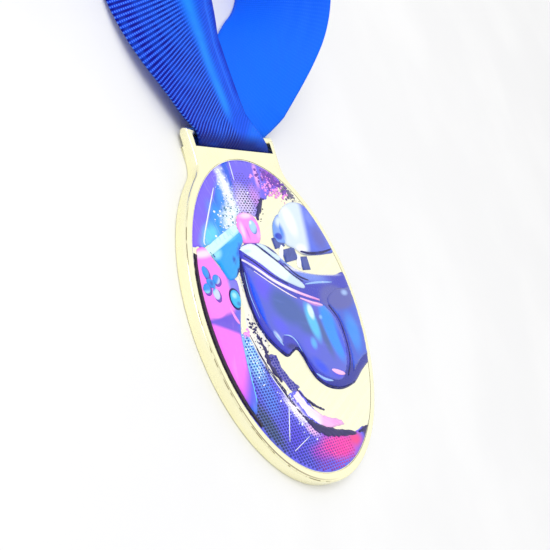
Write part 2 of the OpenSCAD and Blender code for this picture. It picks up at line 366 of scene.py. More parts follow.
def leg_sizes():
    """Straight length and arc radius of the front and the back leg, as in the CAD source."""
    arc_x, arc_y = math.cos(FOLD_A), 1 + math.sin(FOLD_A)
    front_x, back_x = RIBBON_X - WRAP_SHIFT, RIBBON_X + WRAP_SHIFT
    front_arc = (FRONT_STRAIGHT * math.sin(FOLD_A) - front_x) / arc_x
    back_rise = ROLL_Y + LEG_R - BAR_Y - arc_y * back_x / arc_x
    back_straight = back_rise / (math.cos(FOLD_A) + arc_y * math.sin(FOLD_A) / arc_x)
    back_arc = (back_x + back_straight * math.sin(FOLD_A)) / arc_x
    return (front_x, FRONT_STRAIGHT, front_arc), (back_x, back_straight, back_arc)


def leg_station(side, t, start, straight, arc, twist):
    """Middle of the ribbon and half its width vector, t along a leg. side is -1 in front and 1 behind."""
    total = straight + arc * (math.pi / 2 + FOLD_A)
    h = side * (FOLD_A - max(0.0, t - straight) / arc)
    s = min(t, straight)
    x = start + side * s * math.sin(FOLD_A)
    y = BAR_Y + s * math.cos(FOLD_A)
    if t > straight:
        x += arc * side * (math.cos(h) - math.cos(FOLD_A))
        y += arc * (math.sin(FOLD_A) - side * math.sin(h))
    u = min(1, max(0, (t - twist[0]) / twist[1]))
    turn = math.pi / 2 * (u - TWIST_EASE * math.sin(2 * math.pi * u) / (2 * math.pi))
    slant = side * math.tan(FOLD_A * max(0, 1 - t / SLANT_L))
    top = BAR_Z + WRAP_R if side < 0 else BAR_Z - WRAP_R
    rest = EDGE_Z + RIBBON_T / 2 * math.cos(turn)
    down = eased((t - DESCENT_START) / DESCENT_L)
    z = top * (1 - down) + rest * down + (ROLL_Z - EDGE_Z) * eased((t - total + SETTLE_L) / SETTLE_L)
    across = np.array([math.cos(h), -math.sin(h), 0])
    along = np.array([math.sin(h), math.cos(h), 0])
    width = HALF_W * (GATHER + (1 - GATHER) * eased(t / SLANT_L))
    half = width * (across * math.cos(turn) + along * slant) + np.array([0, 0, HALF_W * math.sin(turn)])
    return np.array([x, y, z + HALF_W * math.sin(turn)]), half


def roll_strand(turns, pitch, count):
    """One strand of the roll, from outside in, for the leg that arrives on the side nearest the medal."""
    out = []
    for k in range(count):
        turned = 2 * math.pi * turns * (k + 1) / count
        r = LEG_R - pitch * turned / (2 * math.pi)
        a = -math.pi / 2 + turned
        out.append((r * math.cos(a), r * math.sin(a)))
    return out


def roll_centre(strand):
    """The S through the middle that joins the strand's inner end to the other strand's."""
    p = np.array(strand[-1])
    tangent = np.array([-p[1], p[0]]) / np.linalg.norm(p)
    out = []
    for u in np.linspace(0, 1, 14)[1:-1]:
        pull = 3.2 * np.linalg.norm(p) * tangent
        out.append((2 * u ** 3 - 3 * u * u + 1) * p + (u ** 3 - 2 * u * u + u) * pull
                   + (-2 * u ** 3 + 3 * u * u) * -p + (u ** 3 - u * u) * pull)
    return out


def ribbon_stations():
    """Middles and half-width vectors of the whole loop, from the roll's heart round and back to it."""
    front, back = leg_sizes()
    full = math.pi / 2 + FOLD_A
    front_l = front[1] + front[2] * full
    back_l = back[1] + back[2] * full
    strand = roll_strand((LEG_R - ROLL_HOLE) / ROLL_PITCH, ROLL_PITCH, 260)
    heart = roll_centre(strand)
    upright = np.array([0, 0, HALF_W])
    middle = np.array([0, ROLL_Y, ROLL_Z + HALF_W])

    def in_roll(p, k):
        lift = 0.12 * math.sin(0.045 * k) + 0.06 * math.sin(0.31 * k)
        return middle + np.array([p[0], p[1], lift]), upright

    far = [in_roll((-x, -y), k) for k, (x, y) in enumerate(strand)]
    near = [in_roll(p, k) for k, p in enumerate(strand)]
    step = STATION_STEP
    legs_back = [leg_station(1, t, *back, BACK_TWIST) for t in np.arange(back_l, 0.01, -step)]
    legs_front = [leg_station(-1, t, *front, FRONT_TWIST) for t in np.arange(step, front_l, step)]
    wrap = []
    for a in np.radians(np.linspace(-90, 90, 26)):
        x = RIBBON_X - a / (math.pi / 2) * WRAP_SHIFT
        p = np.array([x, BAR_Y - LOOP_R * math.cos(a), BAR_Z + WRAP_R * math.sin(a)])
        wrap.append((p, np.array([WRAP_HALF + (SLOT_HALF - WRAP_HALF) * math.cos(a), 0, 0])))
    seam = [(middle + np.array([p[0], p[1], 0]), upright) for p in heart]
    path = list(reversed(far)) + legs_back + wrap + legs_front + near + seam
    wrap_start = len(far) + len(legs_back)
    return path, (len(far), wrap_start, wrap_start + len(wrap), wrap_start + len(wrap) + len(legs_front))


def make_ribbon():
    """The whole cloth, and how far along it the turn round the bar is."""
    path, (leg_start, wrap_start, wrap_end, leg_end) = ribbon_stations()
    middle = np.array([p for p, _ in path])
    half = np.array([h for _, h in path])
    along = np.gradient(middle, axis=0)
    normal = np.cross(half, along)
    normal /= np.linalg.norm(normal, axis=1)[:, None]
    run = np.concatenate([[0], np.cumsum(np.linalg.norm(np.diff(middle, axis=0), axis=1))])
    cells = RIBBON_CELLS
    v = np.linspace(-1, 1, cells + 1)
    n = len(path)
    # The cloth ripples only where it lies loose, and its selvedges are a little thinner.
    loose = np.zeros(n)
    loose[leg_start:leg_end] = 1
    loose = np.convolve(loose, np.ones(25) / 25, "same")
    folds = ribbon_folds(run, v, middle)
    thick = RIBBON_T / 2 * np.where(np.abs(v) > 0.93, 0.9, 1.0)
    surface = middle[:, None] + v[None, :, None] * half[:, None]
    surface = surface + normal[:, None] * (folds * loose[:, None])[..., None]
    upper = surface + normal[:, None] * thick[None, :, None]
    lower = surface - normal[:, None] * thick[None, :, None]
    w = cells + 1
    points = np.concatenate([upper.reshape(-1, 3), lower.reshape(-1, 3)])
    faces = []
    base = n * w
    for i in range(n - 1):
        for j in range(cells):
            a = i * w + j
            faces.append((a, a + 1, a + 1 + w, a + w))
            faces.append((base + a, base + a + w, base + a + 1 + w, base + a + 1))
        for j, flip in ((0, True), (cells, False)):
            a = i * w + j
            side = (a, a + w, base + a + w, base + a)
            faces.append(side if flip else side[::-1])
    for i, flip in ((0, False), (n - 1, True)):
        for j in range(cells):
            a = i * w + j
            end = (a, base + a, base + a + 1, a + 1)
            faces.append(end[::-1] if flip else end)
    piece = new_object("neck_ribbon", points, faces)
    layer = piece.data.uv_layers.new(name="length_and_width")
    length_mm = np.repeat(run, w)
    width_mm = np.tile(v * HALF_W, n)
    # The turn round the bar is oblique, so each point's place along the cloth runs ahead on one side.
    travel = along / np.linalg.norm(along, axis=1)[:, None]
    ahead = np.sum(half * travel, axis=1)
    ahead[wrap_start:wrap_end] = -math.sin(FOLD_A) * np.linalg.norm(half[wrap_start:wrap_end], axis=1)
    length_mm = length_mm + (ahead[:, None] * v[None, :]).ravel()
    uv = np.stack([np.tile(length_mm, 2), np.tile(width_mm, 2)], 1) / 10
    index = np.empty(len(piece.data.loops), int)
    piece.data.loops.foreach_get("vertex_index", index)
    layer.data.foreach_set("uv", uv[index].ravel())
    return piece, run[(wrap_start + wrap_end) // 2]


def ribbon_folds(run, v, middle):
    """Soft lengthwise ripples of the ribbon, in millimetres off its plane."""
    ripple = np.zeros((len(run), len(v)))
    front = eased((middle[:, 1] - BAR_Y - 2) / 8) * (1 - eased((middle[:, 1] - BAR_Y - 45) / 20))
    for place, width, height in ((0.28, 0.11, 0.16), (0.62, 0.10, 0.20), (-0.45, 0.16, 0.08)):
        drift = 0.03 * np.sin(run / 9)
        ripple += (front * height)[:, None] * np.exp(-((v[None, :] - place - drift[:, None]) / width) ** 2)
    return ripple


def make_tie():
    """Tape loop through the middle of the roll and round its outside."""
    width, thick, inner, corner, turn = 1.6, 0.35, 1.5, 0.5, -30
    low, high = ROLL_Z - thick / 2, ROLL_Z + RIBBON_W + 0.35
    near, far = inner - thick / 2, LEG_R + 0.45
    loop = []
    for quarter, (r, z) in enumerate([(far - corner, low + corner), (far - corner, high - corner),
                                      (near + corner, high - corner), (near + corner, low + corner)]):
        loop += arc_points((r, z), corner, 90 * quarter - 90, 90 * quarter, 6)
    loop = np.array(loop)
    rings = []
    for (r, z), (nr, nz) in zip(loop, outward(loop)):
        ring = []
        for across, out in [(-1, -1), (1, -1), (1, 1), (-1, 1)]:
            x, y = turned(r + nr * out * thick / 2, across * width / 2, turn)
            ring.append((x, y + ROLL_Y, max(z + nz * out * thick / 2, 0.01)))
        rings.append(ring)
    piece = lofted("paper_tape_tie", rings, closed=True)
    smooth_by_angle(piece, 40)
    return piece


# ---- Materials ----

def linear(colour):
    """A colour in linear light. One with a part over 1 is an ordinary 0 to 255 colour."""
    return tuple((c / 255) ** 2.2 for c in colour) if max(colour) > 1 else colour


class Finish:
    """A node material built up layer by layer over a base colour, in millimetres of the part's frame."""

    def __init__(self, name, colour, roughness=0.4, metallic=0.0, **settings):
        self.material = bpy.data.materials.new(name)
        self.material.use_nodes = True
        self.tree = self.material.node_tree
        self.shader = self.tree.nodes["Principled BSDF"]
        self.shader.inputs["Roughness"].default_value = roughness
        self.shader.inputs["Metallic"].default_value = metallic
        for key, value in settings.items():
            self.shader.inputs[key.replace("_", " ")].default_value = value
        place = self.tree.nodes.new("ShaderNodeTexCoord")
        scale = self.node("ShaderNodeVectorMath", "SCALE")
        scale.inputs["Scale"].default_value = 1 / MM
        self.link(place.outputs["Object"], scale.inputs[0])
        self.place = scale.outputs[0]
        self.uv = place.outputs["UV"]
        self.colour = self.rgb(colour)
        self.bump = None

    def node(self, kind, operation=None):
        node = self.tree.nodes.new(kind)
        if operation:
            node.operation = operation
        return node

    def link(self, out, into):
        self.tree.links.new(out, into)

    def rgb(self, colour):
        node = self.node("ShaderNodeRGB")
        node.outputs[0].default_value = (*linear(colour), 1)
        return node.outputs[0]

    def math(self, operation, a, b=None, c=None):
        node = self.node("ShaderNodeMath", operation)
        for socket, value in zip(node.inputs, (a, b, c)):
            if isinstance(value, (int, float)):
                socket.default_value = value
            elif value is not None:
                self.link(value, socket)
        return node.outputs[0]

    def times(self, *values):
        """The values multiplied together."""
        out = values[0]
        for value in values[1:]:
            out = self.math("MULTIPLY", out, value)
        return out

    def off(self, value, mark):
        """How far a value is from a mark."""
        return self.math("ABSOLUTE", self.math("SUBTRACT", value, mark))

    def soft(self, value, low, high):
        """Smooth step of a value from low to high."""
        node = self.node("ShaderNodeMapRange")
        node.interpolation_type = "SMOOTHSTEP"
        node.inputs["From Min"].default_value = low
        node.inputs["From Max"].default_value = high
        self.link(value, node.inputs["Value"])
        return node.outputs["Result"]

    def noise(self, place, scale, detail, output="Fac"):
        """Soft noise over a place in millimetres."""
        node = self.node("ShaderNodeTexNoise")
        node.inputs["Scale"].default_value = scale
        node.inputs["Detail"].default_value = detail
        self.link(place, node.inputs["Vector"])
        return node.outputs[output]

    def moved(self, centre, angle, stretch, wobble=0.0, grain=0.3):
        """The place relative to a centre, turned and divided by stretch, with painterly unevenness."""
        place = self.place
        if wobble:
            shift = self.node("ShaderNodeVectorMath", "MULTIPLY_ADD")
            shift.inputs[1].default_value = (wobble, wobble, 0)
            shift.inputs[2].default_value = (-wobble / 2, -wobble / 2, 0)
            self.link(self.noise(place, grain, 3, "Color"), shift.inputs[0])
            add = self.node("ShaderNodeVectorMath", "ADD")
            self.link(place, add.inputs[0])
            self.link(shift.outputs[0], add.inputs[1])
            place = add.outputs[0]
        mapping = self.node("ShaderNodeMapping")
        mapping.vector_type = "TEXTURE"
        mapping.inputs["Location"].default_value = (*centre, 0)
        mapping.inputs["Rotation"].default_value = (0, 0, math.radians(angle))
        mapping.inputs["Scale"].default_value = (*stretch, 1)
        self.link(place, mapping.inputs["Vector"])
        return mapping.outputs[0]

    def flat(self, vector):
        """The vector with its height taken out."""
        node = self.node("ShaderNodeVectorMath", "MULTIPLY")
        node.inputs[1].default_value = (1, 1, 0)
        self.link(vector, node.inputs[0])
        return node.outputs[0]

    def part(self, vector, axis):
        """One coordinate of a vector."""
        node = self.node("ShaderNodeSeparateXYZ")
        self.link(vector, node.inputs[0])
        return node.outputs[axis]

    def cover(self, mask, colour, strength=1.0):
        """Lays a colour over what is there, where the mask is 1."""
        node = self.node("ShaderNodeMix")
        node.data_type = "RGBA"
        if strength != 1:
            mask = self.times(mask, strength)
        self.link(mask, node.inputs[0])
        self.link(self.colour, node.inputs[6])
        node.inputs[7].default_value = (*linear(colour), 1)
        self.colour = node.outputs[2]

    def spot(self, centre, size, colour, angle=0, strength=1.0, core=0.2, wobble=0.0, grain=0.3):
        """A soft oval of colour."""
        place = self.flat(self.moved(centre, angle, size, wobble, grain))
        length = self.node("ShaderNodeVectorMath", "LENGTH")
        self.link(place, length.inputs[0])
        self.cover(self.soft(length.outputs["Value"], 1, core), colour, strength)

    def side(self, point, angle, width, colour, strength=1.0, wobble=0.0, grain=0.3):
        """Colour beyond a line through a point; angle is the direction it deepens in."""
        along = self.part(self.moved(point, angle, (width, width), wobble, grain), 0)
        self.cover(self.soft(along, 0, 1), colour, strength)

    def streaks(self, angle, size, low, high, colour, strength=1.0, seed=0.0):
        """Uneven strokes of colour along a direction."""
        noise = self.noise(self.moved((seed, seed), angle, size), 1, 4)
        self.cover(self.soft(noise, low, high), colour, strength)

    def rough(self, scale, low, high):
        """Uneven gloss."""
        node = self.node("ShaderNodeMapRange")
        node.inputs["From Min"].default_value = 0.3
        node.inputs["From Max"].default_value = 0.7
        node.inputs["To Min"].default_value = low
        node.inputs["To Max"].default_value = high
        self.link(self.noise(self.place, scale, 3), node.inputs["Value"])
        self.link(node.outputs["Result"], self.shader.inputs["Roughness"])

    def raised(self, height, distance_mm):
        """Bump from a height from 0 to 1."""
        node = self.node("ShaderNodeBump")
        node.inputs["Distance"].default_value = distance_mm * MM
        node.inputs["Strength"].default_value = 1
        self.link(height, node.inputs["Height"])
        if self.bump is not None:
            self.link(self.bump, node.inputs["Normal"])
        self.bump = node.outputs["Normal"]

    def grain_bump(self, scale, distance_mm, stretch=(1, 1, 1)):
        """Fine unevenness of the surface."""
        mapping = self.node("ShaderNodeMapping")
        mapping.inputs["Scale"].default_value = stretch
        self.link(self.place, mapping.inputs["Vector"])
        self.raised(self.noise(mapping.outputs[0], scale, 4), distance_mm)

    def done(self):
        self.link(self.colour, self.shader.inputs["Base Color"])
        if self.bump is not None:
            self.link(self.bump, self.shader.inputs["Normal"])
        return self.material


def gold_finish():
    """Pale polished plating, with painted shade as dark lines along the front edge of the rim, towards its
    lower left.
    """
    f = Finish("gold_plating", (1.0, 0.96, 0.64), roughness=0.24, metallic=1.0)
    f.streaks(0, (9, 9), 0.45, 0.75, (1.0, 0.98, 0.74), 0.5)
    reach = f.node("ShaderNodeVectorMath", "LENGTH")
    f.link(f.flat(f.place), reach.inputs[0])
    radius = reach.outputs["Value"]
    on_front = f.soft(f.part(f.place, 2), DISC_T - 0.6, DISC_T - 0.35)
    on_rim = f.times(on_front, f.soft(f.part(f.place, 1), 24, 18))
    # Painted shade: a dark line just inside the rim's front edge, deepening towards the lower left.
    line = f.soft(f.off(radius, DISC_R - 0.55), 0.24, 0.08)
    lower = f.soft(f.part(f.moved((-18, -14), 225, (16, 16)), 0), 0, 1)
    f.cover(f.times(line, lower, on_rim), (0.12, 0.06, 0.0), 0.95)
    # Painted shade: a broken dark line on the rounded edge of the rim, on its left side only.
    seam = f.soft(f.off(radius, DISC_R - 0.2), 0.12, 0.03)
    broken = f.soft(f.noise(f.place, 0.35, 2), 0.46, 0.56)
    left = f.soft(f.part(f.place, 0), 2, -6)
    f.cover(f.times(seam, broken, on_rim, left), (0.16, 0.11, 0.02), 0.8)
    f.rough(0.5, 0.18, 0.3)
    f.grain_bump(0.8, 0.006)
    return f.done()


def face_finish():
    f = Finish("gold_face_sheet", (0.98, 0.96, 0.7), roughness=0.35, metallic=0.85)
    f.streaks(20, (30, 1.2), 0.4, 0.8, (1.0, 0.98, 0.82), 0.5)
    f.rough(0.4, 0.22, 0.36)
    f.grain_bump(2, 0.002)
    return f.done()


def plate_finish():
    f = Finish("brushed_gold_plate", (0.95, 0.78, 0.36), roughness=0.35, metallic=1.0)
    f.streaks(0, (40, 0.3), 0.35, 0.75, (0.85, 0.66, 0.28), 0.7)
    f.grain_bump(1, 0.01, stretch=(0.05, 6, 1))
    return f.done()


def film_finish():
    f = Finish("adhesive_film", (0.9, 0.9, 0.86), roughness=0.5)
    f.streaks(0, (2, 2), 0.4, 0.7, (0.8, 0.8, 0.78), 0.6)
    f.grain_bump(1.5, 0.01)
    return f.done()


def ribbon_finish(middle_run):
    """Woven polyester: ribs across it and yarns along it, lit and shaded near the bar by its folds."""
    f = Finish("woven_blue_ribbon", (20, 84, 232), roughness=0.6, Specular_IOR_Level=0.12)
    rib_mm, yarn_mm = 0.8, 0.46
    length = f.times(f.part(f.uv, 0), 10)
    width = f.times(f.part(f.uv, 1), 10)
    ribs = f.math("SINE", f.times(length, 2 * math.pi / rib_mm))
    yarns = f.math("SINE", f.times(width, 2 * math.pi / yarn_mm))
    rib = f.math("MULTIPLY_ADD", ribs, 0.5, 0.5)
    yarn = f.math("MULTIPLY_ADD", yarns, 0.5, 0.5)
    away = f.soft(f.off(length, middle_run), 34, 70)
    near = f.math("SUBTRACT", 1, away)
    front = f.times(f.soft(length, middle_run - 0.5, middle_run + 0.5), near)
    ribbed = f.times(f.soft(width, 4.5, 0.5), front)
    grain = f.math("MAXIMUM", f.math("MAXIMUM", ribbed, 0.22), f.times(away, 0.6))
    # Painted shade: the left side of the front leg near the bar is darker.
    f.cover(f.times(f.soft(width, 2, -10), front), (8, 44, 206), 0.85)
    # Painted shade in the rib troughs and painted highlight on the rib and yarn tops, strongest on the
    # front leg's left side near the bar.
    f.cover(f.times(f.soft(rib, 0.66, 0.16), grain), (0, 0, 120), 0.95)
    f.cover(f.times(f.soft(rib, 0.5, 1.0), f.soft(yarn, 0.2, 0.9), grain), (84, 140, 255), 0.95)
    # Painted highlight as two sheen bands, and painted shade as a dark band at the far edge, across the
    # front leg past the bar.
    for place, reach, colour, amount in ((4.2, 2.6, (36, 140, 255), 0.9),
                                         (8.6, 0.7, (44, 112, 250), 0.7),
                                         (10.6, 1.3, (0, 44, 190), 0.9)):
        painted_light_band = f.soft(f.off(width, place), reach, 0.0)
        past_bar = f.soft(length, middle_run + 3, middle_run + 9)
        f.cover(f.times(painted_light_band, front, past_bar), colour, amount)
    # Painted light: the back leg near the bar is brighter than the front leg.
    back = f.times(f.soft(length, middle_run + 0.5, middle_run - 2.5), near)
    f.cover(back, (20, 112, 255), 0.8)
    # Painted shade: dark navy where the loop turns down into the slot below the bar.
    f.side((0, BAR_Y + 1.2), -90, 3.4, (0, 12, 96), 0.92)
    f.streaks(0, (14, 14), 0.4, 0.7, (24, 100, 250), 0.25)
    f.raised(f.times(f.math("ADD", rib, f.times(yarn, 0.35)), grain), 0.07)
    return f.done()


def tape_finish():
    f = Finish("paper_tape", (0.9, 0.9, 0.87), roughness=0.8)
    f.streaks(0, (0.8, 0.8), 0.4, 0.7, (0.8, 0.8, 0.76), 0.5)
    f.grain_bump(3, 0.02)
    return f.done()


def floor_finish():
    f = Finish("pale_floor", (0.84, 0.84, 0.845), roughness=0.6)
    f.streaks(0, (60, 60), 0.4, 0.7, (0.91, 0.91, 0.91), 0.5)
    return f.done()


# ---- Printed relief: outlines in the plane of the face ----

VISOR = [(-12.6, 13.6), (-9.5, 14.8), (-6, 15), (-1.6, 14.6), (1.8, 13.4), (4.4, 11.4), (8, 9.6),
         (12.4, 8.4), (19, 7.6), (27, 7.3), (36, 6.4), (36, -11.8), (31, -12.8), (26, -14.4),
         (20.6, -16.6), (16, -17.2), (12.3, -17.2), (7.6, -16.2), (3.7, -14.3), (1.7, -11.8), (0.5, -9.2),
         (-1.2, -7.5), (-3.4, -7.8), (-5.4, -8.4), (-7.4, -8), (-11.7, -4.8), (-13.9, -1.7), (-14.8, 2.4),
         (-14.5, 8.1), (-13.4, 11.8)]
VISOR_GLASS = [(-12.4, 10.2), (-5, 6.8), (3.7, 3.2), (10, 1.9), (15.4, 1.1), (19.2, -1.5), (21, -5.2),
               (20.4, -9.7), (18, -13), (14.3, -15.4), (9.3, -15), (4.4, -13), (2, -10.6), (0.4, -8.4),
               (-0.6, -6.8), (-2, -5.6), (-5.8, -4.6), (-7.4, -6), (-9.6, -4.4), (-12, -1), (-13.2, 3.4),
               (-13.2, 8)]
VISOR_CHEEK = [(18.6, 1.6), (24, 3.8), (29, 4), (34, 3), (34, -10), (28.4, -11.4), (24, -13),
               (20.8, -14.4), (22, -11.4), (22.8, -6.4), (21.6, -2)]
TOP_PLATE = [(-12.4, 13.5), (-9.5, 14.6), (-6.4, 14.6), (-2.5, 12.7), (5.2, 8.4), (9.9, 5.6), (8.5, 4.8),
             (0.1, 7.3), (-6.4, 10.6)]
SIDE_PLATE = [(-5, 14.7), (-2.4, 14.6), (0.4, 13), (3.2, 11.8), (1.8, 11), (-1.6, 12.8)]
CUSHION = [(8.6, 14.6), (6.9, 17), (7.6, 19.6), (11.4, 22.4), (16.5, 24), (21.5, 23.8), (25, 22),
           (27.8, 18.4), (30.6, 13), (27, 12.2), (20, 12), (15.6, 12.2), (12.4, 13.4)]
ARM = [(4.4, 15.2), (4.6, 17), (6, 19.4), (9.4, 21.2), (9.2, 18), (9, 15.2), (6.8, 14.6)]
SHELL = [(-28.8, 13.2), (-27.8, 14.2), (-25.4, 14.2), (-23.6, 12), (-21.6, 9.6), (-20, 7.8), (-17.4, 7.6),
         (-17.4, 5.2), (-18.6, 2.6), (-20.6, -0.6), (-21.7, -2.8), (-22.6, -6.5), (-23.4, -10.9),
         (-23.6, -15), (-24.7, -17.5), (-26, -17.9), (-28, -14.6), (-30.2, -9), (-31.3, -3), (-31.4, 4),
         (-30.2, 10)]
TOUCH = [(-23.4, 13.4), (-17, 15.8), (-10.6, 17.5), (-9.6, 15.6), (-12.4, 13.6), (-12.8, 12.5),
         (-15.4, 9), (-18.6, 7.6), (-20.4, 8), (-21.6, 10.4)]
SHOULDER = [(-9.6, 15.2), (-10, 18.6), (-8.4, 20.9), (-5.1, 21.5), (-2.2, 20.7), (-0.9, 18.8),
            (-1.6, 16.4), (-3.2, 15), (-6, 14.7)]
UPPER = [(-40, 14.6), (-26, 14.4), (-17, 16.2), (-10.6, 18), (-9.4, 20.6), (-5, 21.7), (-2, 21),
         (-0.4, 20.8), (1.4, 22.2), (4, 24.4), (6.4, 24.8), (9, 26.4), (12, 26.6), (15, 28.4), (20, 40),
         (-40, 40)]
LOWER = [(-40, -18.4), (-26, -18), (-23.6, -16), (-22.6, -9), (-21.4, -3), (-19.2, -3.2), (-17.4, -7.2),
         (-15.4, -10.4), (-13.4, -14), (-11.6, -16.6), (-8.4, -15.6), (-5.6, -15.8), (-3.4, -18.4),
         (-0.6, -21.6), (-1, -23.4), (4, -25), (13, -26.6), (17, -26), (22, -26), (22, -40), (-40, -40)]
SPLASH = [(-17.2, 7.4), (-15.6, 8.6), (-15.4, 3), (-14.6, -1.4), (-12.4, -5), (-13.2, -7.6), (-14.2, -10),
          (-12.6, -14.4), (-15.8, -11), (-17.6, -7), (-19.2, -3.2), (-18.4, 0), (-17.6, 3)]
MESH_PATCH = [(-14.4, -7.6), (-10.6, -8), (-10, -10.6), (-8, -13), (-5, -15.2), (-8.6, -15.9),
              (-10.9, -13.5), (-13.8, -10.8)]
PINK_WASH = [(-9.4, -16.2), (-6.4, -15.8), (-4.4, -18.4), (-0.6, -20.8), (1, -21.8), (8.4, -23.6),
             (9.2, -24.6), (3, -24.6), (-2, -23.4), (-6, -21)]

KEY_CENTRE = (-27.7, 7.2)
STICK_CENTRE = (-20.3, 3.8)

# Heights of the coats. A relief starts with an upright lip, this share of its height, and its underside
# sinks a little into what it lies on.
INK = 0.06
LIP = 0.4
SINK = 0.02
PAD_H = 0.3
VISOR_H = 0.45
TRIM_H = 0.15


def resampled(outline, step):
    """The closed outline with points about a step apart."""
    outline = np.asarray(outline, float)
    out = []
    for a, b in zip(outline, np.roll(outline, -1, 0)):
        count = max(1, int(np.linalg.norm(b - a) / step))
        out += [a + (b - a) * k / count for k in range(count)]
    return np.array(out)


def ragged(outline, amount, seed):
    """The outline with the uneven edge of a dry brush."""
    draw = random.Random(seed)
    outline = resampled(outline, 0.5)
    push = np.array([draw.uniform(-1, 1) * amount for _ in outline])
    push = 0.5 * push + 0.25 * (np.roll(push, 1) + np.roll(push, -1))
    return outline + outward(outline) * push[:, None]


def on_print(outline):
    """The outline kept within the printed circle, with no two points together."""
    outline = clipped(outline, PRINT_R - 0.15)
    apart = np.linalg.norm(outline - np.roll(outline, 1, 0), axis=1) > 0.03
    return outline[apart]


def open_curve(points):
    """Open Catmull-Rom curve through the points."""
    steps = 6
    p = np.array([points[0], *points, points[-1]], float)
    out = []
    for a, b, c, d in zip(p, p[1:], p[2:], p[3:]):
        for k in range(steps):
            u = k / steps
            out.append(0.5 * (2 * b + (c - a) * u + (2 * a - 5 * b + 4 * c - d) * u * u
                              + (3 * b - a - 3 * c + d) * u ** 3))
    return np.array([*out, p[-1]])


def stroke(points, width, taper=0.0, rough=0.0, seed=0):
    """Outline of a brush line along the points. Its ends narrow by the share taper."""
    draw = random.Random(seed)
    middle = open_curve(points)
    run = np.gradient(middle, axis=0)
    side = np.stack([-run[:, 1], run[:, 0]], 1) / np.linalg.norm(run, axis=1)[:, None]
    u = np.linspace(-1, 1, len(middle))
    half = width / 2 * (1 - taper * np.abs(u) ** 2)
    left = [half[k] * (1 + rough * draw.uniform(-1, 1)) for k in range(len(middle))]
    right = [half[k] * (1 + rough * draw.uniform(-1, 1)) for k in range(len(middle))]
    one = middle + side * np.array(left)[:, None]
    other = middle - side * np.array(right)[:, None]
    return np.concatenate([other, one[::-1]])


def oval(centre, size, angle=0.0):
    """Outline of an oval from its half sizes."""
    a = np.linspace(0, 2 * math.pi, 28, endpoint=False)
    return np.stack(turned(size[0] * np.cos(a), size[1] * np.sin(a), angle), 1) + np.array(centre)


def on_face(places):
    """Height of the gold face, just clear of it."""
    return np.full(len(places), FACE_Z + 0.003)


def on_ink(places):
    """Height of the flat panels' top, just clear of it."""
    return np.full(len(places), FACE_Z + INK + 0.004)


def relief(name, outline, height, under=on_face, edge=0.3, crown=0.0, shape=None, spacing=0.5):
    """A raised closed form on the surface under it. Gives the piece and its own surface."""
    outline = np.asarray(outline, float)

    def surface(places):
        away = distance_to_line(places, outline) * inside(places, outline)
        u = np.clip(away / edge, 0, 1)
        dome = LIP + (1 - LIP) * np.sqrt(1 - (1 - u) ** 2)
        top = under(places) + height * dome * (away > 0)
        top = top + crown * (1 - np.exp(-away / 2.5))
        if shape is not None:
            top = top + shape(places[:, 0], places[:, 1]) * u
        return top

    flat, triangles = filled(outline, spacing)
    at_edge = distance_to_line(flat, outline) < 1e-3
    top = np.where(at_edge, under(flat) + LIP * height, surface(flat))
    n = len(flat)
    points = [(x, y, z) for (x, y), z in zip(flat, top)]
    points += [(x, y, z - SINK) for (x, y), z in zip(flat, under(flat))]
    faces = []
    for a, b, c in triangles:
        ax, ay = flat[b] - flat[a]
        bx, by = flat[c] - flat[a]
        faces.append((a, b, c) if ax * by > ay * bx else (a, c, b))
    rim = boundary_edges(faces)
    faces += [(n + a, n + c, n + b) for a, b, c in faces[:]]
    faces += [(a, n + a, n + b, b) for a, b in rim]
    return new_object(name, points, faces), surface


def form(name, outline, height, *settings, **named):
    """A relief's piece alone."""
    return relief(name, outline, height, *settings, **named)[0]


def joined(name, pieces):
    """One piece from several."""
    points, faces = [], []
    for piece in pieces:
        first = len(points)
        points += [tuple(c / MM for c in v.co) for v in piece.data.vertices]
        faces += [tuple(first + k for k in face.vertices) for face in piece.data.polygons]
        bpy.data.objects.remove(piece)
    return new_object(name, points, faces)


def drawn(name, outlines, height, under, edge, spacing=0.3):
    """One piece from several brush lines."""
    pieces = [form(f"{name}_{k}", outline, height, under, edge, spacing=spacing)
              for k, outline in enumerate(outlines)]
    return joined(name, pieces)


def dots(name, spots, height, under=on_face, sides=7, stretch=(1, 1)):
    """Small domes of ink at (x, y, radius)."""
    spots = np.array(spots, float)
    spots = spots[np.hypot(spots[:, 0], spots[:, 1]) + spots[:, 2] * max(stretch) < PRINT_R - 0.1]
    base = under(spots[:, :2])
    points, faces = [], []
    for (x, y, r), z in zip(spots, base):
        first = len(points)
        for reach, lift in ((1.0, -SINK), (0.95, height * 0.5), (0.6, height * 0.92)):
            for k in range(sides):
                a = 2 * math.pi * k / sides + x
                out, up = r * reach * stretch[0] * math.cos(a), r * reach * stretch[1] * math.sin(a)
                points.append((x + out, y + up, z + lift))
        points.append((x, y, z + height))
        for ring in (0, 1):
            for k in range(sides):
                a, b = first + ring * sides + k, first + ring * sides + (k + 1) % sides
                faces.append((a, b, b + sides, a + sides))
        for k in range(sides):
            faces.append((first + 2 * sides + k, first + 2 * sides + (k + 1) % sides, first + 3 * sides))
        faces.append(tuple(first + k for k in range(sides - 1, -1, -1)))
    return new_object(name, points, faces)


def grid_places(low, high, pitch, row, lean=0.0):
    """Places on a staggered grid, leaning sideways as it climbs."""
    out = []
    for j in range(int((high[1] - low[1]) / row) + 1):
        y = low[1] + j * row
        x = low[0] + (j % 2) * pitch / 2 + (lean * j * row) % pitch
        while x < high[0]:
            out.append((x, y))
            x += pitch
    return np.array(out)


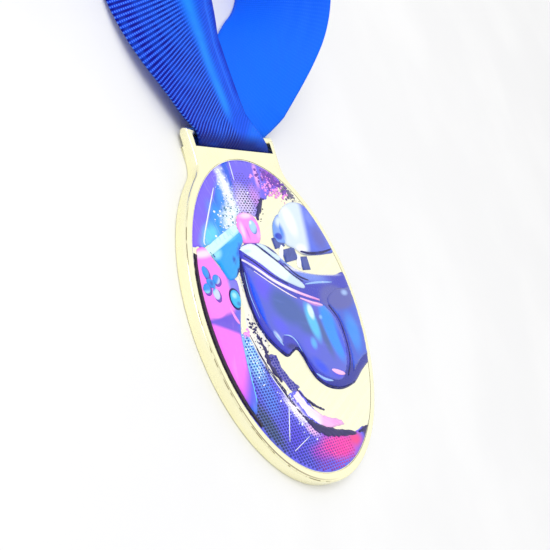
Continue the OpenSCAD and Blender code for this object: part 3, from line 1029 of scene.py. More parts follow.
def scattered(seed, count, centre, spread, radii, angle=0):
    """Random flecks round a centre, thicker towards the middle."""
    draw = random.Random(seed)
    out = []
    for _ in range(count):
        x, y = turned(draw.gauss(0, spread[0]), draw.gauss(0, spread[1]), angle)
        r = radii[0] + (radii[1] - radii[0]) * draw.random() ** 2
        out.append((centre[0] + x, centre[1] + y, r))
    return out


# ---- Inks ----

def glossy(name, colour, coat=0.08, rough=(0.3, 0.42)):
    """Cured ink under a thin clear coat, with the fine unevenness of a print."""
    f = Finish(name, colour, Coat_Weight=coat, Coat_Roughness=0.12, Specular_IOR_Level=0.2)
    f.rough(1.2, *rough)
    f.grain_bump(2.5, 0.004)
    return f


def plain_ink(name, colour, fleck, angle=0, size=(4, 0.6)):
    """One ink with streaks of another."""
    f = glossy(name, colour, coat=0.05)
    f.streaks(angle, size, 0.45, 0.75, fleck, 0.6)
    return f.done()


def upper_ink():
    f = glossy("ink_upper", (118, 98, 236))
    f.spot((-28, 18), (6, 8), (128, 98, 250), 0, 0.9)
    f.side((-20, 20.6), -45, 0.4, (42, 92, 226))
    f.spot((-21.6, 16.6), (7, 3.4), (96, 206, 244), 30, 1.0, wobble=2)
    f.spot((-16, 20), (5, 6), (40, 150, 240), 45, 0.95, wobble=2)
    f.spot((-12.6, 25), (3, 5), (60, 150, 240), -30, 0.8, wobble=1.5)
    f.side((-7.6, 26), -8, 1.6, (112, 98, 236), wobble=1.5, grain=0.8)
    f.spot((-3.6, 23.8), (6, 5), (222, 208, 250), 0, 0.95, wobble=2, grain=0.5)
    f.spot((1.6, 25), (3.4, 3.6), (216, 150, 240), 0, 0.8, wobble=2, grain=0.5)
    f.spot((5, 30), (4.4, 1.4), (244, 168, 246), 80, 0.95, wobble=0.8, grain=1)
    f.spot((11, 29.6), (5, 3), (160, 66, 204), -20, 0.95, wobble=2, grain=0.6)
    f.spot((-9.8, 26), (9, 3), (236, 244, 255), -80, 1.0, wobble=3, grain=1.3)
    f.spot((-11.4, 20.6), (6.4, 3.6), (232, 248, 255), 24, 1.0, wobble=3, grain=1.1)
    f.streaks(-70, (6, 0.35), 0.58, 0.8, (206, 196, 250), 0.4)
    return f.done()


def lower_ink():
    f = glossy("ink_lower", (96, 96, 236))
    f.spot((-20, -8), (4, 9), (150, 212, 250), 8, 1.0, wobble=1)
    f.spot((-18.6, -16), (4.4, 6), (86, 134, 244), 20, 0.95, wobble=1)
    f.spot((-22, -21), (3.4, 9), (70, 96, 150), 34, 0.95, wobble=1)
    f.spot((-13, -25), (5, 5), (88, 74, 236), 0, 0.9, wobble=2)
    f.spot((-5, -28.6), (6, 2.6), (190, 66, 214), -10, 0.95, wobble=1.5)
    f.spot((3.6, -28.4), (11, 3.6), (246, 60, 176), -6, 1.0, core=0.4, wobble=1.2)
    f.spot((12, -28), (5, 2.2), (240, 62, 140), -6, 0.95, wobble=1)
    f.spot((19.4, -27), (3.6, 3), (66, 44, 116), 0, 1.0, core=0.5, wobble=1)
    f.spot((-9.6, -19.4), (6.6, 2), (255, 244, 255), -44, 1.0, wobble=1.2, grain=0.8)
    f.spot((-5.4, -24), (4, 1.6), (250, 190, 244), -24, 0.9, wobble=1.2, grain=0.8)
    f.spot((-16.4, -7.6), (5, 1.2), (252, 252, 255), -60, 1.0, wobble=1, grain=0.8)
    f.streaks(-50, (7, 0.4), 0.6, 0.8, (214, 180, 255), 0.5)
    return f.done()


def cell_ink():
    f = glossy("ink_mesh_cells", (34, 36, 150), coat=0.05)
    f.spot((-20, -7), (5, 8), (30, 84, 196), 0, 0.95)
    f.spot((-22, -21), (3.4, 9), (16, 34, 74), 34, 1.0, core=0.5)
    f.spot((-9, -19), (6, 3), (160, 120, 220), -44, 0.95)
    f.side((-7, -25), -40, 7, (120, 26, 150))
    f.side((0, -28), -30, 5, (190, 26, 130))
    return f.done()


def patch_ink():
    f = glossy("ink_mesh_patch", (112, 108, 190), coat=0.05)
    f.streaks(-40, (3, 1), 0.45, 0.7, (70, 66, 150), 0.7)
    return f.done()


def pink_wash_ink():
    f = glossy("ink_pink_wash", (252, 236, 252), coat=0.05)
    f.side((-1.6, -21.4), -24, 3, (246, 178, 240), 1.0, wobble=1)
    f.spot((6, -23.8), (3.6, 1), (240, 158, 230), -14, 0.9, wobble=1)
    f.spot((-1, -20.6), (3, 0.5), (250, 196, 246), -28, 0.9)
    f.streaks(-28, (6, 0.3), 0.45, 0.7, (246, 200, 244), 0.6)
    return f.done()


def shell_ink():
    f = glossy("ink_controller_shell", (250, 128, 240))
    f.spot((-27, 13), (6, 1.2), (255, 226, 250), 4, 0.95)
    f.spot((-28.6, 5), (3.6, 1.2), (202, 84, 206), -20, 0.7)
    f.spot((-19.4, 6.6), (2.4, 1.4), (255, 226, 240), 0, 0.9)
    f.spot((-21, 2.4), (1.6, 3), (255, 190, 246), 24, 0.6)
    f.side((-26, 1.6), -84, 1.2, (110, 84, 220))
    f.spot((-28.6, 3.4), (4.8, 3.2), (250, 128, 240), 0, 1.0, core=0.8)
    f.side((-28, -0.9), -106, 1, (253, 118, 250))
    f.side((-27, -9), -50, 4.6, (206, 96, 240), 0.9)
    f.side((-26.4, -11), -36, 3.4, (92, 96, 240))
    f.side((-23.9, -7), -8, 1.6, (96, 104, 232), 0.9)
    f.side((-24.4, -14.6), -60, 2, (56, 120, 240), 0.9)
    f.streaks(70, (7, 1.5), 0.55, 0.85, (255, 170, 250), 0.3)
    return f.done()


def touch_ink():
    f = glossy("ink_touch_panel", (38, 160, 246))
    f.spot((-22, 12.8), (3, 1.4), (150, 226, 250), 18, 0.95)
    f.spot((-14.6, 16), (5, 0.9), (96, 204, 250), 16, 0.8)
    f.spot((-12.8, 13.4), (3.4, 1.2), (30, 96, 226), 40, 0.95, wobble=1.4, grain=0.9)
    f.spot((-16, 11.6), (1.4, 1.2), (18, 76, 190), 36, 0.9, wobble=1.5, grain=1.2)
    f.spot((-15.4, 9.2), (2, 0.8), (14, 34, 140), 36, 1.0, wobble=1, grain=0.9)
    f.streaks(30, (5, 0.6), 0.55, 0.8, (70, 190, 250), 0.5)
    return f.done()


def light_bar_ink():
    f = glossy("ink_light_bar", (206, 246, 250))
    f.side((-18, 15.2), -70, 0.5, (150, 232, 244), 0.8)
    f.streaks(16, (1.4, 4), 0.5, 0.6, (150, 214, 240), 0.5)
    return f.done()


def key_ink():
    f = glossy("ink_direction_keys", (58, 146, 236))
    f.side((KEY_CENTRE[0], KEY_CENTRE[1] - 1), -90, 0.8, (150, 232, 248), 0.9)
    f.side((KEY_CENTRE[0] - 0.2, KEY_CENTRE[1] - 1.4), -50, 0.8, (206, 214, 250), 0.9)
    f.spot(KEY_CENTRE, (0.9, 0.8), (44, 84, 196), 0, 0.8)
    return f.done()


def stick_ink():
    f = glossy("ink_thumb_stick", (60, 186, 240))
    f.spot((STICK_CENTRE[0] - 0.4, STICK_CENTRE[1] + 0.7), (1.4, 0.9), (166, 236, 252), 0, 0.9)
    f.spot((STICK_CENTRE[0] + 0.4, STICK_CENTRE[1] - 1), (1.2, 0.7), (30, 96, 190), 0, 0.7)
    return f.done()


def shoulder_ink():
    f = glossy("ink_shoulder", (250, 142, 240))
    f.spot((-5.6, 20.8), (4, 1), (255, 220, 250), 4, 0.95)
    f.spot((-8.8, 17.6), (1.2, 2.6), (244, 214, 250), 0, 0.9)
    f.spot((-7, 17), (0.7, 2.2), (206, 108, 220), 10, 0.8)
    f.spot((-2.6, 16.6), (1.6, 1.2), (255, 176, 248), 20, 0.8)
    return f.done()


def shoulder_key_ink():
    f = glossy("ink_shoulder_key", (166, 214, 252))
    f.side((-4.2, 17.8), -60, 1.2, (74, 110, 214), 0.9)
    f.spot((-4.9, 19.2), (0.8, 0.5), (240, 252, 255), 30, 0.9)
    return f.done()


def visor_ink():
    f = glossy("ink_visor_shell", (56, 60, 190), coat=0.1, rough=(0.2, 0.3))
    f.spot((-6, 9.6), (9, 1.4), (84, 72, 224), -24, 0.95)
    f.spot((5, 11), (6, 1.6), (140, 176, 246), -30, 0.95)
    f.spot((14, 7.2), (13, 2), (112, 140, 236), -6, 0.95)
    f.spot((16, 8.4), (16, 0.9), (222, 226, 255), -5, 1.0, core=0.5)
    f.spot((23, 1.6), (9, 4.2), (88, 92, 176), -6, 0.95, core=0.6)
    f.side((-14, 4), 172, 0.7, (20, 20, 90), 0.95)
    f.side((6, -15.2), -78, 0.8, (22, 34, 150), 0.95)
    f.spot((23, -15), (5, 1.8), (36, 40, 150), 14, 0.95)
    f.spot((-3.6, -7), (3.6, 1), (34, 34, 130), -8, 0.95)
    f.streaks(-12, (9, 1), 0.58, 0.85, (96, 116, 226), 0.35)
    return f.done()


def glass_ink():
    f = glossy("ink_visor_glass", (84, 96, 214), coat=0.12, rough=(0.16, 0.24))
    f.spot((-8.4, 5.4), (5.4, 4), (94, 82, 244), -30, 0.95)
    f.spot((-1, 1), (9.6, 4.6), (62, 92, 168), -20, 0.95, core=0.4)
    f.spot((5.4, -3), (5.4, 4.4), (62, 94, 166), -10, 0.9)
    f.spot((-6, -2.8), (5, 2.4), (86, 88, 238), -30, 0.95)
    f.spot((4, -7.4), (5, 3.4), (88, 94, 232), -20, 0.85)
    f.spot((11.8, -6), (2.4, 7), (66, 92, 160), 14, 0.95)
    f.spot((6, -12), (5, 1.9), (38, 74, 240), -32, 0.95)
    f.spot((16, -5), (4, 8.6), (30, 140, 255), 14, 1.0, core=0.55)
    f.spot((19.4, -8.6), (1.7, 7), (52, 80, 230), 12, 0.95)
    f.spot((14, -14.6), (6.4, 1.3), (70, 70, 226), -8, 0.95)
    f.spot((-12.6, 3), (1.8, 7.4), (22, 80, 246), 8, 1.0, core=0.4)
    f.spot((8.2, -2.6), (2.8, 5.6), (84, 192, 250), 12, 1.0, core=0.4)
    f.spot((8.8, -0.4), (1.7, 2.2), (214, 250, 255), 10, 1.0, core=0.4)
    f.spot((5.8, -7), (1.9, 1.8), (86, 180, 250), 0, 0.9)
    f.spot((12.6, -1.8), (1.1, 0.7), (130, 186, 246), 0, 0.9)
    f.spot((11.6, 1.6), (4.8, 1.1), (240, 150, 232), -12, 1.0)
    f.spot((-8.6, -4.8), (2.4, 1), (206, 226, 255), -50, 0.95, wobble=0.6)
    f.streaks(-14, (12, 1.4), 0.58, 0.85, (100, 124, 230), 0.3)
    return f.done()


def cheek_ink():
    f = glossy("ink_visor_cheek", (60, 92, 214), coat=0.12, rough=(0.16, 0.24))
    f.spot((25, 2.4), (10, 4), (88, 92, 174), 0, 0.95, core=0.6)
    f.spot((26.4, -6), (4.6, 6), (48, 138, 244), 0, 1.0, core=0.3)
    f.spot((23.4, -8), (1.6, 6), (70, 92, 206), 10, 0.85)
    f.spot((28.4, 3), (2.4, 1), (160, 190, 244), 0, 0.9)
    f.side((26, -11.6), -76, 1.4, (36, 48, 160), 0.95)
    return f.done()


def plate_ink():
    f = glossy("ink_top_plate", (232, 248, 252), coat=0.2)
    f.spot((-10.4, 13.2), (2.6, 0.6), (190, 222, 250), 0, 0.7)
    f.side((2.6, 7.4), -62, 1.2, (196, 222, 250), 0.8)
    f.streaks(-28, (10, 0.5), 0.5, 0.8, (206, 230, 248), 0.6)
    return f.done()


def trim_ink():
    f = glossy("ink_highlight_trim", (250, 238, 255), coat=0.15)
    f.side((2, 5), -20, 6, (246, 182, 240), 0.9)
    f.spot((13, 2), (3, 1), (238, 150, 230), -14, 0.9)
    f.spot((-11, 10.6), (2.6, 0.8), (214, 210, 255), -24, 0.8)
    return f.done()


def glint_ink():
    f = glossy("ink_glints", (150, 190, 255), coat=0.2)
    f.spot((13.4, -13.8), (4, 1.4), (255, 190, 244), -10, 1.0, core=0.7)
    f.streaks(-60, (4, 0.8), 0.5, 0.8, (214, 230, 255), 0.6)
    return f.done()


def cushion_ink():
    f = glossy("ink_head_cushion", (214, 230, 246), coat=0.15)
    f.spot((13, 19.6), (3.4, 5), (255, 255, 255), 12, 0.95)
    f.spot((7.4, 17.4), (2, 3.4), (76, 130, 240), 12, 0.95)
    f.side((17.2, 17), -14, 3.2, (84, 108, 232), wobble=0.4, grain=0.5)
    f.spot((24.6, 15.8), (5.6, 4.4), (92, 98, 190), -20, 0.95)
    f.spot((22.4, 20.4), (3, 2.4), (120, 140, 240), -30, 0.7)
    f.side((20, 13.2), -91, 1.2, (58, 66, 140), 0.6)
    f.spot((14.4, 13.4), (3.6, 1.6), (250, 250, 255), 0, 0.9)
    return f.done()


def arm_ink():
    f = glossy("ink_cushion_arm", (120, 160, 244), coat=0.15)
    f.spot((8, 19.6), (2.6, 1.4), (226, 240, 255), 30, 0.9)
    f.spot((6, 16.3), (2, 1), (30, 62, 196), 0, 1.0, core=0.5)
    return f.done()


def splash_ink():
    f = glossy("ink_splash_wash", (244, 240, 226), coat=0.05)
    f.streaks(78, (6, 0.5), 0.56, 0.66, (210, 216, 236), 0.8)
    f.streaks(66, (3, 0.35), 0.62, 0.68, (60, 46, 120), 0.9, seed=9)
    return f.done()


# ---- Painting ----

def paint_on(piece, material):
    """The material alone on a piece."""
    piece.data.materials.clear()
    piece.data.materials.append(material)


def dress_node(name, material):
    """A CAD node kept as it is, with a better material."""
    node = bpy.data.objects[name]
    for index in range(max(1, len(node.material_slots))):
        if not node.material_slots:
            node.data.materials.append(material)
        node.material_slots[index].material = material


def inked(piece, material, slot, *nodes):
    """A piece of the print, on the medal, in place of the CAD nodes it shows better."""
    paint_on(piece, material)
    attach(piece, "medal")
    if nodes:
        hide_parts(*nodes)


# ---- Art pieces ----

def panel_art():
    """The two flat panels, the splash, the washes, brush strokes and light lines."""
    upper = on_print(ragged(UPPER, 0.35, 3))
    lower = on_print(ragged(LOWER, 0.3, 4))
    inked(form("upper_panel", upper, INK, edge=0.12), upper_ink(), "ink_violet", "ink_upper_panel")
    inked(form("lower_panel", lower, INK, edge=0.12), lower_ink(), "ink_navy", "ink_lower_panel")
    splash = ragged(closed_curve(SPLASH, 4), 0.35, 5)
    inked(form("white_splash", splash, INK, edge=0.12), splash_ink(), "ink_white", "ink_splash")
    patch = form("mesh_patch", ragged(MESH_PATCH, 0.25, 6), INK + 0.01, edge=0.1)
    inked(patch, patch_ink(), "ink_dark")
    wash = form("pink_wash", on_print(ragged(PINK_WASH, 0.25, 7)), INK + 0.02, edge=0.1)
    inked(wash, pink_wash_ink(), "ink_pink")

    strokes = [
        ([(-17.5, -6.1), (-15.8, -10.8), (-12.6, -14.5), (-10.1, -17.8), (-7, -21.1), (-2.6, -23.9)],
         0.6, 0.3, 0.5, 11),
        ([(-7, -21.1), (-4, -23.2), (0.6, -24.9), (6, -26), (13.4, -27)], 2.1, 0.75, 0.3, 19),
        ([(-6.6, -15.5), (-3.5, -18), (-0.6, -19.6), (2.4, -20.7)], 0.6, 0.5, 0.4, 12),
        ([(-0.5, 20), (1.2, 22), (4.2, 24.8)], 1.3, 0.6, 0.4, 13),
        ([(-15.7, -3.6), (-14.6, -6.4), (-14.2, -9.6), (-11.6, -13.4)], 1.4, 0.7, 0.6, 14),
        ([(-18.6, -3.4), (-17, -7.2), (-14.6, -11.4), (-11, -15.6)], 0.28, 0.3, 0.5, 15),
        ([(14.6, -26.9), (17.6, -26.7), (20, -26.2)], 0.7, 0.6, 0.4, 16)]
    brushed = drawn("brush_strokes", [on_print(stroke(*s)) for s in strokes], 0.04, on_ink, 0.12, 0.4)
    inked(brushed, DARK_INK, "ink_dark", "ink_brush_strokes")

    border = [(PRINT_R - 0.85) * np.array([math.cos(a), math.sin(a)])
              for a in np.radians(np.linspace(156, 220, 18))]
    shadow = on_print(stroke(border, 1.9, 0.5, 0.12, 18))
    inked(form("border_shadow", shadow, 0.06, on_ink, 0.12), BLACK_INK, "ink_dark")

    lines = [([(-14.8, 26.5), (-24.1, 16.6), (-24.8, 14.8)], 0.34, 0.3),
             ([(-5, 32.4), (-5.3, 28.4)], 0.3, 0.4),
             ([(-11.4, -17.1), (-16.1, -24.8)], 0.3, 0.6),
             ([(-7.5, -24.9), (-15.3, -26.8)], 0.16, 0.4),
             ([(-13.8, -16.4), (-6.4, -24.6)], 0.14, 0.6),
             ([(-18.4, -5.6), (-15.4, -11.6), (-11.6, -16.8)], 0.3, 0.6)]
    light = drawn("light_lines", [on_print(stroke(*s)) for s in lines], 0.08, on_ink, 0.08, 0.4)
    inked(light, WHITE_INK, "ink_white")


def dot_art():
    """Halftone, mesh and scattered flecks."""
    tone = []
    for x, y in grid_places((-9, 19), (6, 32.4), 1.24, 0.5, 0.4):
        fade = math.exp(-((x + 2.4) / 4.4) ** 2 - ((y - 24.2) / 4.4) ** 2)
        if fade > 0.14 and inside([(x, y)], np.array(UPPER, float))[0]:
            tone.append((x, y, 0.08 + 0.17 * fade))
    inked(dots("halftone_dots", tone, 0.03, on_ink, 7, (1.7, 0.8)), DARK_INK, "ink_dark")

    ground = [np.array(LOWER, float), np.array(MESH_PATCH, float)]
    washed = np.array(PINK_WASH, float)
    cells = []
    for x, y in grid_places((-28, -33), (10, -2), 1.12, 0.56, 0.5):
        place = [(x, y)]
        on_ground = [inside(place, g)[0] and distance_to_line(place, g)[0] > 0.3 for g in ground]
        light = math.exp(-((x + 9.6 + 0.9 * (y + 19)) / 3) ** 2 - ((y + 19) / 5) ** 2)
        size = 0.27 - 0.2 * light - 0.1 * min(1, max(0, (x + 6) / 12))
        size += 0.05 * math.exp(-((math.hypot(x, y) - 32) / 4) ** 2)
        if on_ground[1]:
            size = 0.3
        if any(on_ground) and size > 0.07 and not inside(place, washed)[0]:
            cells.append((x, y, size))
    inked(dots("mesh_cells", cells, 0.03, on_ink, 6, (1.55, 0.85)), cell_ink(), "ink_navy")

    teal = plain_ink("ink_teal_flecks", (84, 140, 170), (40, 84, 130))
    purple = plain_ink("ink_purple_spatter", (104, 60, 170), (160, 84, 206))
    pink = plain_ink("ink_pink_spatter", (244, 156, 240), (216, 110, 226))
    grey = plain_ink("ink_grey_spatter", (112, 106, 136), (70, 60, 106))
    for name, ink, slot, height, under, sides, stretch, groups in (
            ("white_flecks", WHITE_INK, "ink_white", 0.04, on_ink, 7, (1.4, 0.8),
             [(21, 150, (-9.8, 26), (3.6, 1.2), (0.07, 0.34), -80),
              (22, 150, (-11.4, 20), (3.8, 1.6), (0.07, 0.36), 22),
              (23, 90, (-9, -19.6), (3.4, 1.4), (0.07, 0.3), -44),
              (24, 90, (-19.6, -8), (0.9, 3.4), (0.06, 0.24), 12),
              (25, 90, (-13.9, 1), (0.5, 3.6), (0.06, 0.2), 8)]),
            ("teal_flecks", teal, "ink_navy", 0.04, on_ink, 7, (1.3, 0.8),
             [(31, 60, (-11.4, 21.6), (2.6, 1.4), (0.08, 0.34), 20)]),
            ("purple_spatter", purple, "ink_dark", 0.05, on_ink, 8, (1.5, 0.9),
             [(41, 170, (11.6, 29.2), (2.8, 1.2), (0.1, 0.5), -16)]),
            ("pink_spatter", pink, "ink_pink", 0.05, on_ink, 8, (1.4, 0.9),
             [(42, 130, (9.4, 27), (3.2, 1.1), (0.08, 0.42), -12),
              (43, 24, (-19.4, -3.1), (0.6, 0.5), (0.1, 0.4))]),
            ("grey_spatter", grey, "ink_dark", 0.05, on_face, 8, (1.4, 0.9),
             [(51, 130, (15.8, 27.6), (2.8, 0.8), (0.12, 0.5), -36),
              (52, 30, (18.6, 26.2), (0.8, 0.7), (0.08, 0.4), -30)]),
            ("dark_flecks", DARK_INK, "ink_dark", 0.05, on_ink, 7, (1.3, 0.8),
             [(61, 34, (-16.4, -1.9), (0.9, 0.8), (0.12, 0.46), -42),
              (62, 60, (-15.4, -5), (0.7, 2.4), (0.07, 0.34), 12),
              (63, 30, (2, 22.6), (1.6, 1), (0.07, 0.3), 40),
              (64, 60, (-13.9, 3), (0.3, 3.6), (0.06, 0.2), 8)])):
        spots = [spot for group in groups for spot in scattered(*group)]
        inked(dots(name, spots, height, under, sides, stretch), ink, slot)


def controller_art():
    """The game controller at the left."""
    def waist(x, y):
        """Shallow groove across the shell."""
        return -0.14 * np.exp(-((y + 0.6 + 0.2 * (x + 26)) / 0.9) ** 2)

    outline = on_print(closed_curve(SHELL, 6))
    shell, shell_top = relief("controller_shell", outline, PAD_H, on_face, 0.9, 0.08, waist, 0.4)
    inked(shell, shell_ink(), "ink_pink", "pad_shell")
    outline = closed_curve(TOUCH, 6)
    touch, touch_top = relief("controller_touch_panel", outline, PAD_H + 0.04, on_face, 0.5, 0.05)
    inked(touch, touch_ink(), "ink_cyan", "pad_touch_panel")
    outline = closed_curve(SHOULDER, 6)
    shoulder, shoulder_top = relief("controller_shoulder", outline, PAD_H, on_face, 0.9, 0.1)
    inked(shoulder, shoulder_ink(), "ink_pink", "pad_shoulder")

    lobes, shades = [], []
    for k, (at, size, turn) in enumerate([((-28.5, 9.4), (1.25, 1), 100),
                                          ((-25.4, 7.9), (1.35, 0.95), 10),
                                          ((-29.7, 6.3), (1.2, 0.95), 20),
                                          ((-26.9, 5.1), (1.15, 1.15), 110)]):
        under = oval((at[0] + 0.35, at[1] - 0.35), (size[0] + 0.2, size[1] + 0.15), turn)
        shades.append(form(f"shade_{k}", under, 0.04, shell_top, 0.2, spacing=0.35))
        lobes.append(form(f"lobe_{k}", oval(at, size, turn), 0.17, shell_top, 0.5, spacing=0.3))
    lobes.append(form("key_hub", oval(KEY_CENTRE, (1.5, 0.9), -20), 0.12, shell_top, 0.5, spacing=0.3))
    shade = plain_ink("ink_key_shade", (120, 70, 196), (80, 60, 180))
    inked(joined("key_outlines", shades), shade, "ink_dark")
    inked(joined("direction_keys", lobes), key_ink(), "ink_blue", "pad_direction_keys")

    ring, ring_top = relief("stick_ring", oval(STICK_CENTRE, (2.3, 2.2)), 0.05, shell_top, 0.3, spacing=0.3)
    inked(ring, LINE_INK, "ink_dark")
    stick = form("thumb_stick", oval(STICK_CENTRE, (1.9, 1.8)), TRIM_H, ring_top, 0.5, spacing=0.25)
    inked(stick, stick_ink(), "ink_cyan", "pad_thumb_stick")
    key = form("shoulder_key", oval((-4.2, 18.3), (1.5, 1.5), 20), TRIM_H, shoulder_top, 0.7, spacing=0.3)
    inked(key, shoulder_key_ink(), "ink_cyan", "pad_shoulder_key")

    outline = stroke([(-25, 13.2), (-18, 15.7), (-10.2, 18.3)], 2, 0.15)
    bar, bar_top = relief("light_bar", outline, 0.14, touch_top, 0.8, spacing=0.3)
    inked(bar, light_bar_ink(), "ink_cyan")
    ends = []
    for x, y in ((-24.2, 12.7), (-9.2, 17.8)):
        for k in (-1, 0, 1):
            ax, ay = x + 0.75 * k, y + 0.1 * k
            hatch = stroke([(ax - 0.5, ay + 0.55), (ax + 0.5, ay - 0.55)], 0.2)
            ends.append(form("hatch", hatch, 0.03, bar_top, 0.1, spacing=0.3))
    for points, width in ([[(-25.8, 14.5), (-18.6, 17), (-11.4, 19.2)], 0.3],
                          [[(-14.6, 9), (-12.2, 11.4)], 0.5]):
        ends.append(form("underline", stroke(points, width, 0.4), 0.04, touch_top, 0.1, spacing=0.3))
    hatching = plain_ink("ink_hatching", (84, 110, 170), (60, 80, 150))
    inked(joined("controller_hatching", ends), hatching, "ink_dark")
    outline = stroke([(-23.4, 2.4), (-22.6, 0.4), (-21.4, -1)], 0.9, 0.6)
    streak = form("pink_streak", outline, 0.06, shell_top, 0.3, spacing=0.3)
    inked(streak, plain_ink("ink_pink_streak", (255, 156, 244), (246, 120, 236)), "ink_pink")
    outline = stroke([(-21.9, -2.9), (-22.6, -7), (-23.3, -12.9), (-24, -16.2)], 0.9, 0.4)
    edge = form("edge_light", outline, 0.05, shell_top, 0.2, spacing=0.3)
    inked(edge, plain_ink("ink_edge_light", (120, 214, 250), (170, 236, 252)), "ink_cyan")


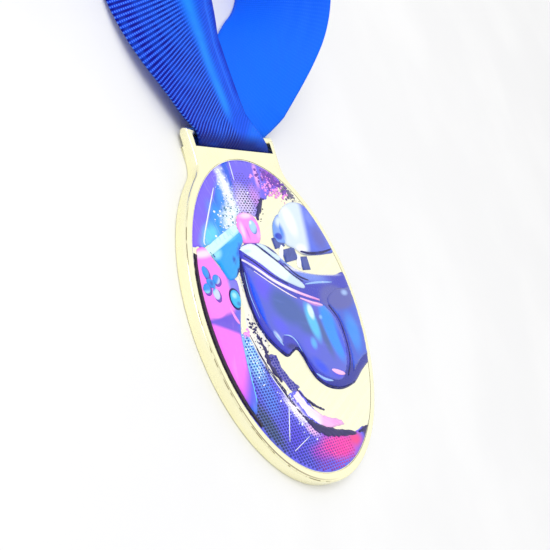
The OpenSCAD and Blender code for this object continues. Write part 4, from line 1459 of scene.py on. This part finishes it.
def headset_art():
    """The headset at the right, with its cushion and straps."""
    def ledge(x, y):
        """Low rise along the visor's upper edge."""
        return 0.1 * np.exp(-((y - 3.6 + 0.32 * (x - 2)) / 1.6) ** 2)

    outline = on_print(closed_curve(VISOR, 5))
    visor, visor_top = relief("visor_shell", outline, VISOR_H, on_face, 1.1, 0.1, ledge, 0.45)
    inked(visor, visor_ink(), "ink_blue", "visor_body")
    glass, glass_top = relief("visor_glass", closed_curve(VISOR_GLASS, 5), 0.08, visor_top, 0.7, 0.1)
    inked(glass, glass_ink(), "ink_blue")
    cheek = form("visor_cheek", on_print(closed_curve(VISOR_CHEEK, 5)), 0.06, visor_top, 0.7, 0.05)
    inked(cheek, cheek_ink(), "ink_blue")
    plate, plate_top = relief("visor_top_panel", closed_curve(TOP_PLATE, 5), TRIM_H, visor_top, 0.4)
    inked(plate, plate_ink(), "ink_white", "visor_top_plate")
    side = form("visor_side_panel", closed_curve(SIDE_PLATE, 5), TRIM_H, visor_top, 0.3, spacing=0.4)
    inked(side, plain_ink("ink_side_plate", (214, 236, 248), (170, 206, 244)), "ink_white")
    slots = [[(-5.6, 14.6), (-2, 12.6), (1.9, 10.6)], [(-1.2, 14.2), (0.8, 12.9), (3, 12)],
             [(2.4, 10.4), (6, 8), (10.4, 6.2)], [(4, 10.4), (8.6, 7.6), (13, 6.4)]]
    slots = drawn("top_panel_slots", [stroke(points, 0.5, 0.6) for points in slots], 0.03, plate_top, 0.1)
    inked(slots, LINE_INK, "ink_dark")
    trim = [([(-13.2, 11.5), (-8.3, 9.4), (-2.4, 6.6), (5.9, 4), (15, 1.9)], 0.8),
            ([(-10.2, 9), (-5.1, 6.5), (1, 3.9), (4.4, 2.7)], 0.32),
            ([(6, 2.7), (10.6, 1.6), (15.4, 0.7)], 0.6)]
    trim = drawn("highlight_trim", [stroke(*s, 0.5) for s in trim], TRIM_H, glass_top, 0.3)
    inked(trim, trim_ink(), "ink_pink", "visor_trim")

    lines = [([(-13.4, 11.9), (-14.7, 8), (-15, 2.4), (-14, -1.8), (-11.7, -4.9), (-7.4, -8.1),
               (-5.4, -8.5), (-3.4, -7.9), (-1.2, -7.5), (0.5, -9.2), (1.7, -11.8), (3.7, -14.3),
               (7.6, -16.3), (12.3, -17.2), (16, -17.2), (20.6, -16.6)], 0.5),
             ([(18.6, 0.6), (21.4, -3), (21.9, -7), (20.8, -11.6), (17.4, -15)], 0.6),
             ([(-12, 12.4), (-8.6, 10.9), (-3, 8), (3, 5.9)], 0.35)]
    lines = drawn("visor_lines", [on_print(stroke(*s, 0.2)) for s in lines], 0.05, visor_top, 0.2, 0.35)
    inked(lines, LINE_INK, "ink_dark")
    glints = [([(10.2, -13.1), (13, -13.9), (16, -14.5)], 1.1),
              ([(-9.8, -3.4), (-8.4, -5.2), (-7.2, -6.5)], 0.5),
              ([(-6, -4.4), (-3.4, -4.8), (-1.4, -6), (0.2, -8.4)], 0.3),
              ([(3.2, -13.2), (6, -14.6), (9.6, -15.4)], 0.6),
              ([(10.6, 5.6), (17, 5.8), (24, 5.6)], 0.5),
              ([(-13.9, 9), (-14.3, 4), (-13.4, -0.6)], 0.22)]
    glints = drawn("visor_glints", [stroke(*s, 0.8) for s in glints], 0.04, glass_top, 0.2)
    inked(glints, glint_ink(), "ink_cyan")

    outline = on_print(closed_curve(CUSHION, 5))
    cushion, cushion_top = relief("head_cushion_form", outline, VISOR_H, on_face, 2.2, 0.15)
    inked(cushion, cushion_ink(), "ink_white", "head_cushion")
    arm = form("cushion_side_arm", closed_curve(ARM, 5), VISOR_H * 0.8, on_face, 1.0)
    inked(arm, arm_ink(), "ink_blue", "cushion_arm")
    outline = on_print(stroke([(14, 12.9), (18, 12.4), (24, 12.5), (29.6, 13.2)], 0.55, 0.5))
    seam = form("cushion_seam", outline, 0.05, cushion_top, 0.2, spacing=0.3)
    inked(seam, LINE_INK, "ink_dark")

    links = [([(3.2, 14.8), (7.8, 15.4)], 2.4), ([(6, 12), (12, 12.6)], 2.8),
             ([(13, 10.3), (16.6, 10.3)], 3)]
    links = drawn("strap_links", [stroke(*s) for s in links], PAD_H * 0.8, on_face, 0.5, 0.35)
    struts = plain_ink("ink_struts", (78, 92, 166), (50, 60, 130), 40, (3, 0.6))
    inked(links, struts, "ink_dark", "strap_struts")
    bars = [([(6.4, 14.4), (4.2, 11.4)], 1.3), ([(12.7, 12.2), (11.4, 9.4)], 1.6)]
    bars = drawn("strap_bars", [stroke(*s, 0.2) for s in bars], PAD_H + 0.06, on_face, 0.3)
    inked(bars, WHITE_INK, "ink_white")


# ---- Scene ----

add_camera()

ribbon, middle_run = make_ribbon()
paint_on(ribbon, ribbon_finish(middle_run))
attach(ribbon, "ribbon")
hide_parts("ribbon_strip", "ribbon_roll")

tie = make_tie()
paint_on(tie, tape_finish())
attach(tie, "ribbon")
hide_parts("roll_tie")

body = make_body()
paint_on(body, gold_finish())
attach(body, "medal")
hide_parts("medal_body")

DARK_INK = plain_ink("ink_dark_brush", (38, 32, 92), (70, 58, 130), -30, (5, 0.35))
LINE_INK = plain_ink("ink_outline", (22, 24, 96), (48, 60, 170), -20, (6, 2))
BLACK_INK = plain_ink("ink_border_shadow", (20, 4, 34), (50, 14, 66), 80, (6, 0.5))
WHITE_INK = plain_ink("ink_white_flecks", (250, 252, 255), (214, 236, 255), 20, (3, 3))

panel_art()
dot_art()
controller_art()
headset_art()
dress_node("face_insert", face_finish())
dress_node("engraving_plate", plate_finish())
dress_node("insert_adhesive", film_finish())
dress_node("plate_adhesive", film_finish())

half_floor = 4000
corners = [(x * half_floor, y * half_floor, 0) for x, y in ((-1, -1), (1, -1), (1, 1), (-1, 1))]
floor = new_object("floor", corners, [(0, 1, 2, 3)])
paint_on(floor, floor_finish())

add_world((1, 1, 1), 0.9)
add_area_light("key_light", (-0.5, 0.3, 0.7), (0, 0.02, 0), (0.5, 0.5), 3)
add_area_light("sky_light", (0.75, 0.1, 0.42), (0, 0.01, 0), (0.9, 0.5), 0.25)

bpy.context.scene.view_settings.view_transform = "Standard"
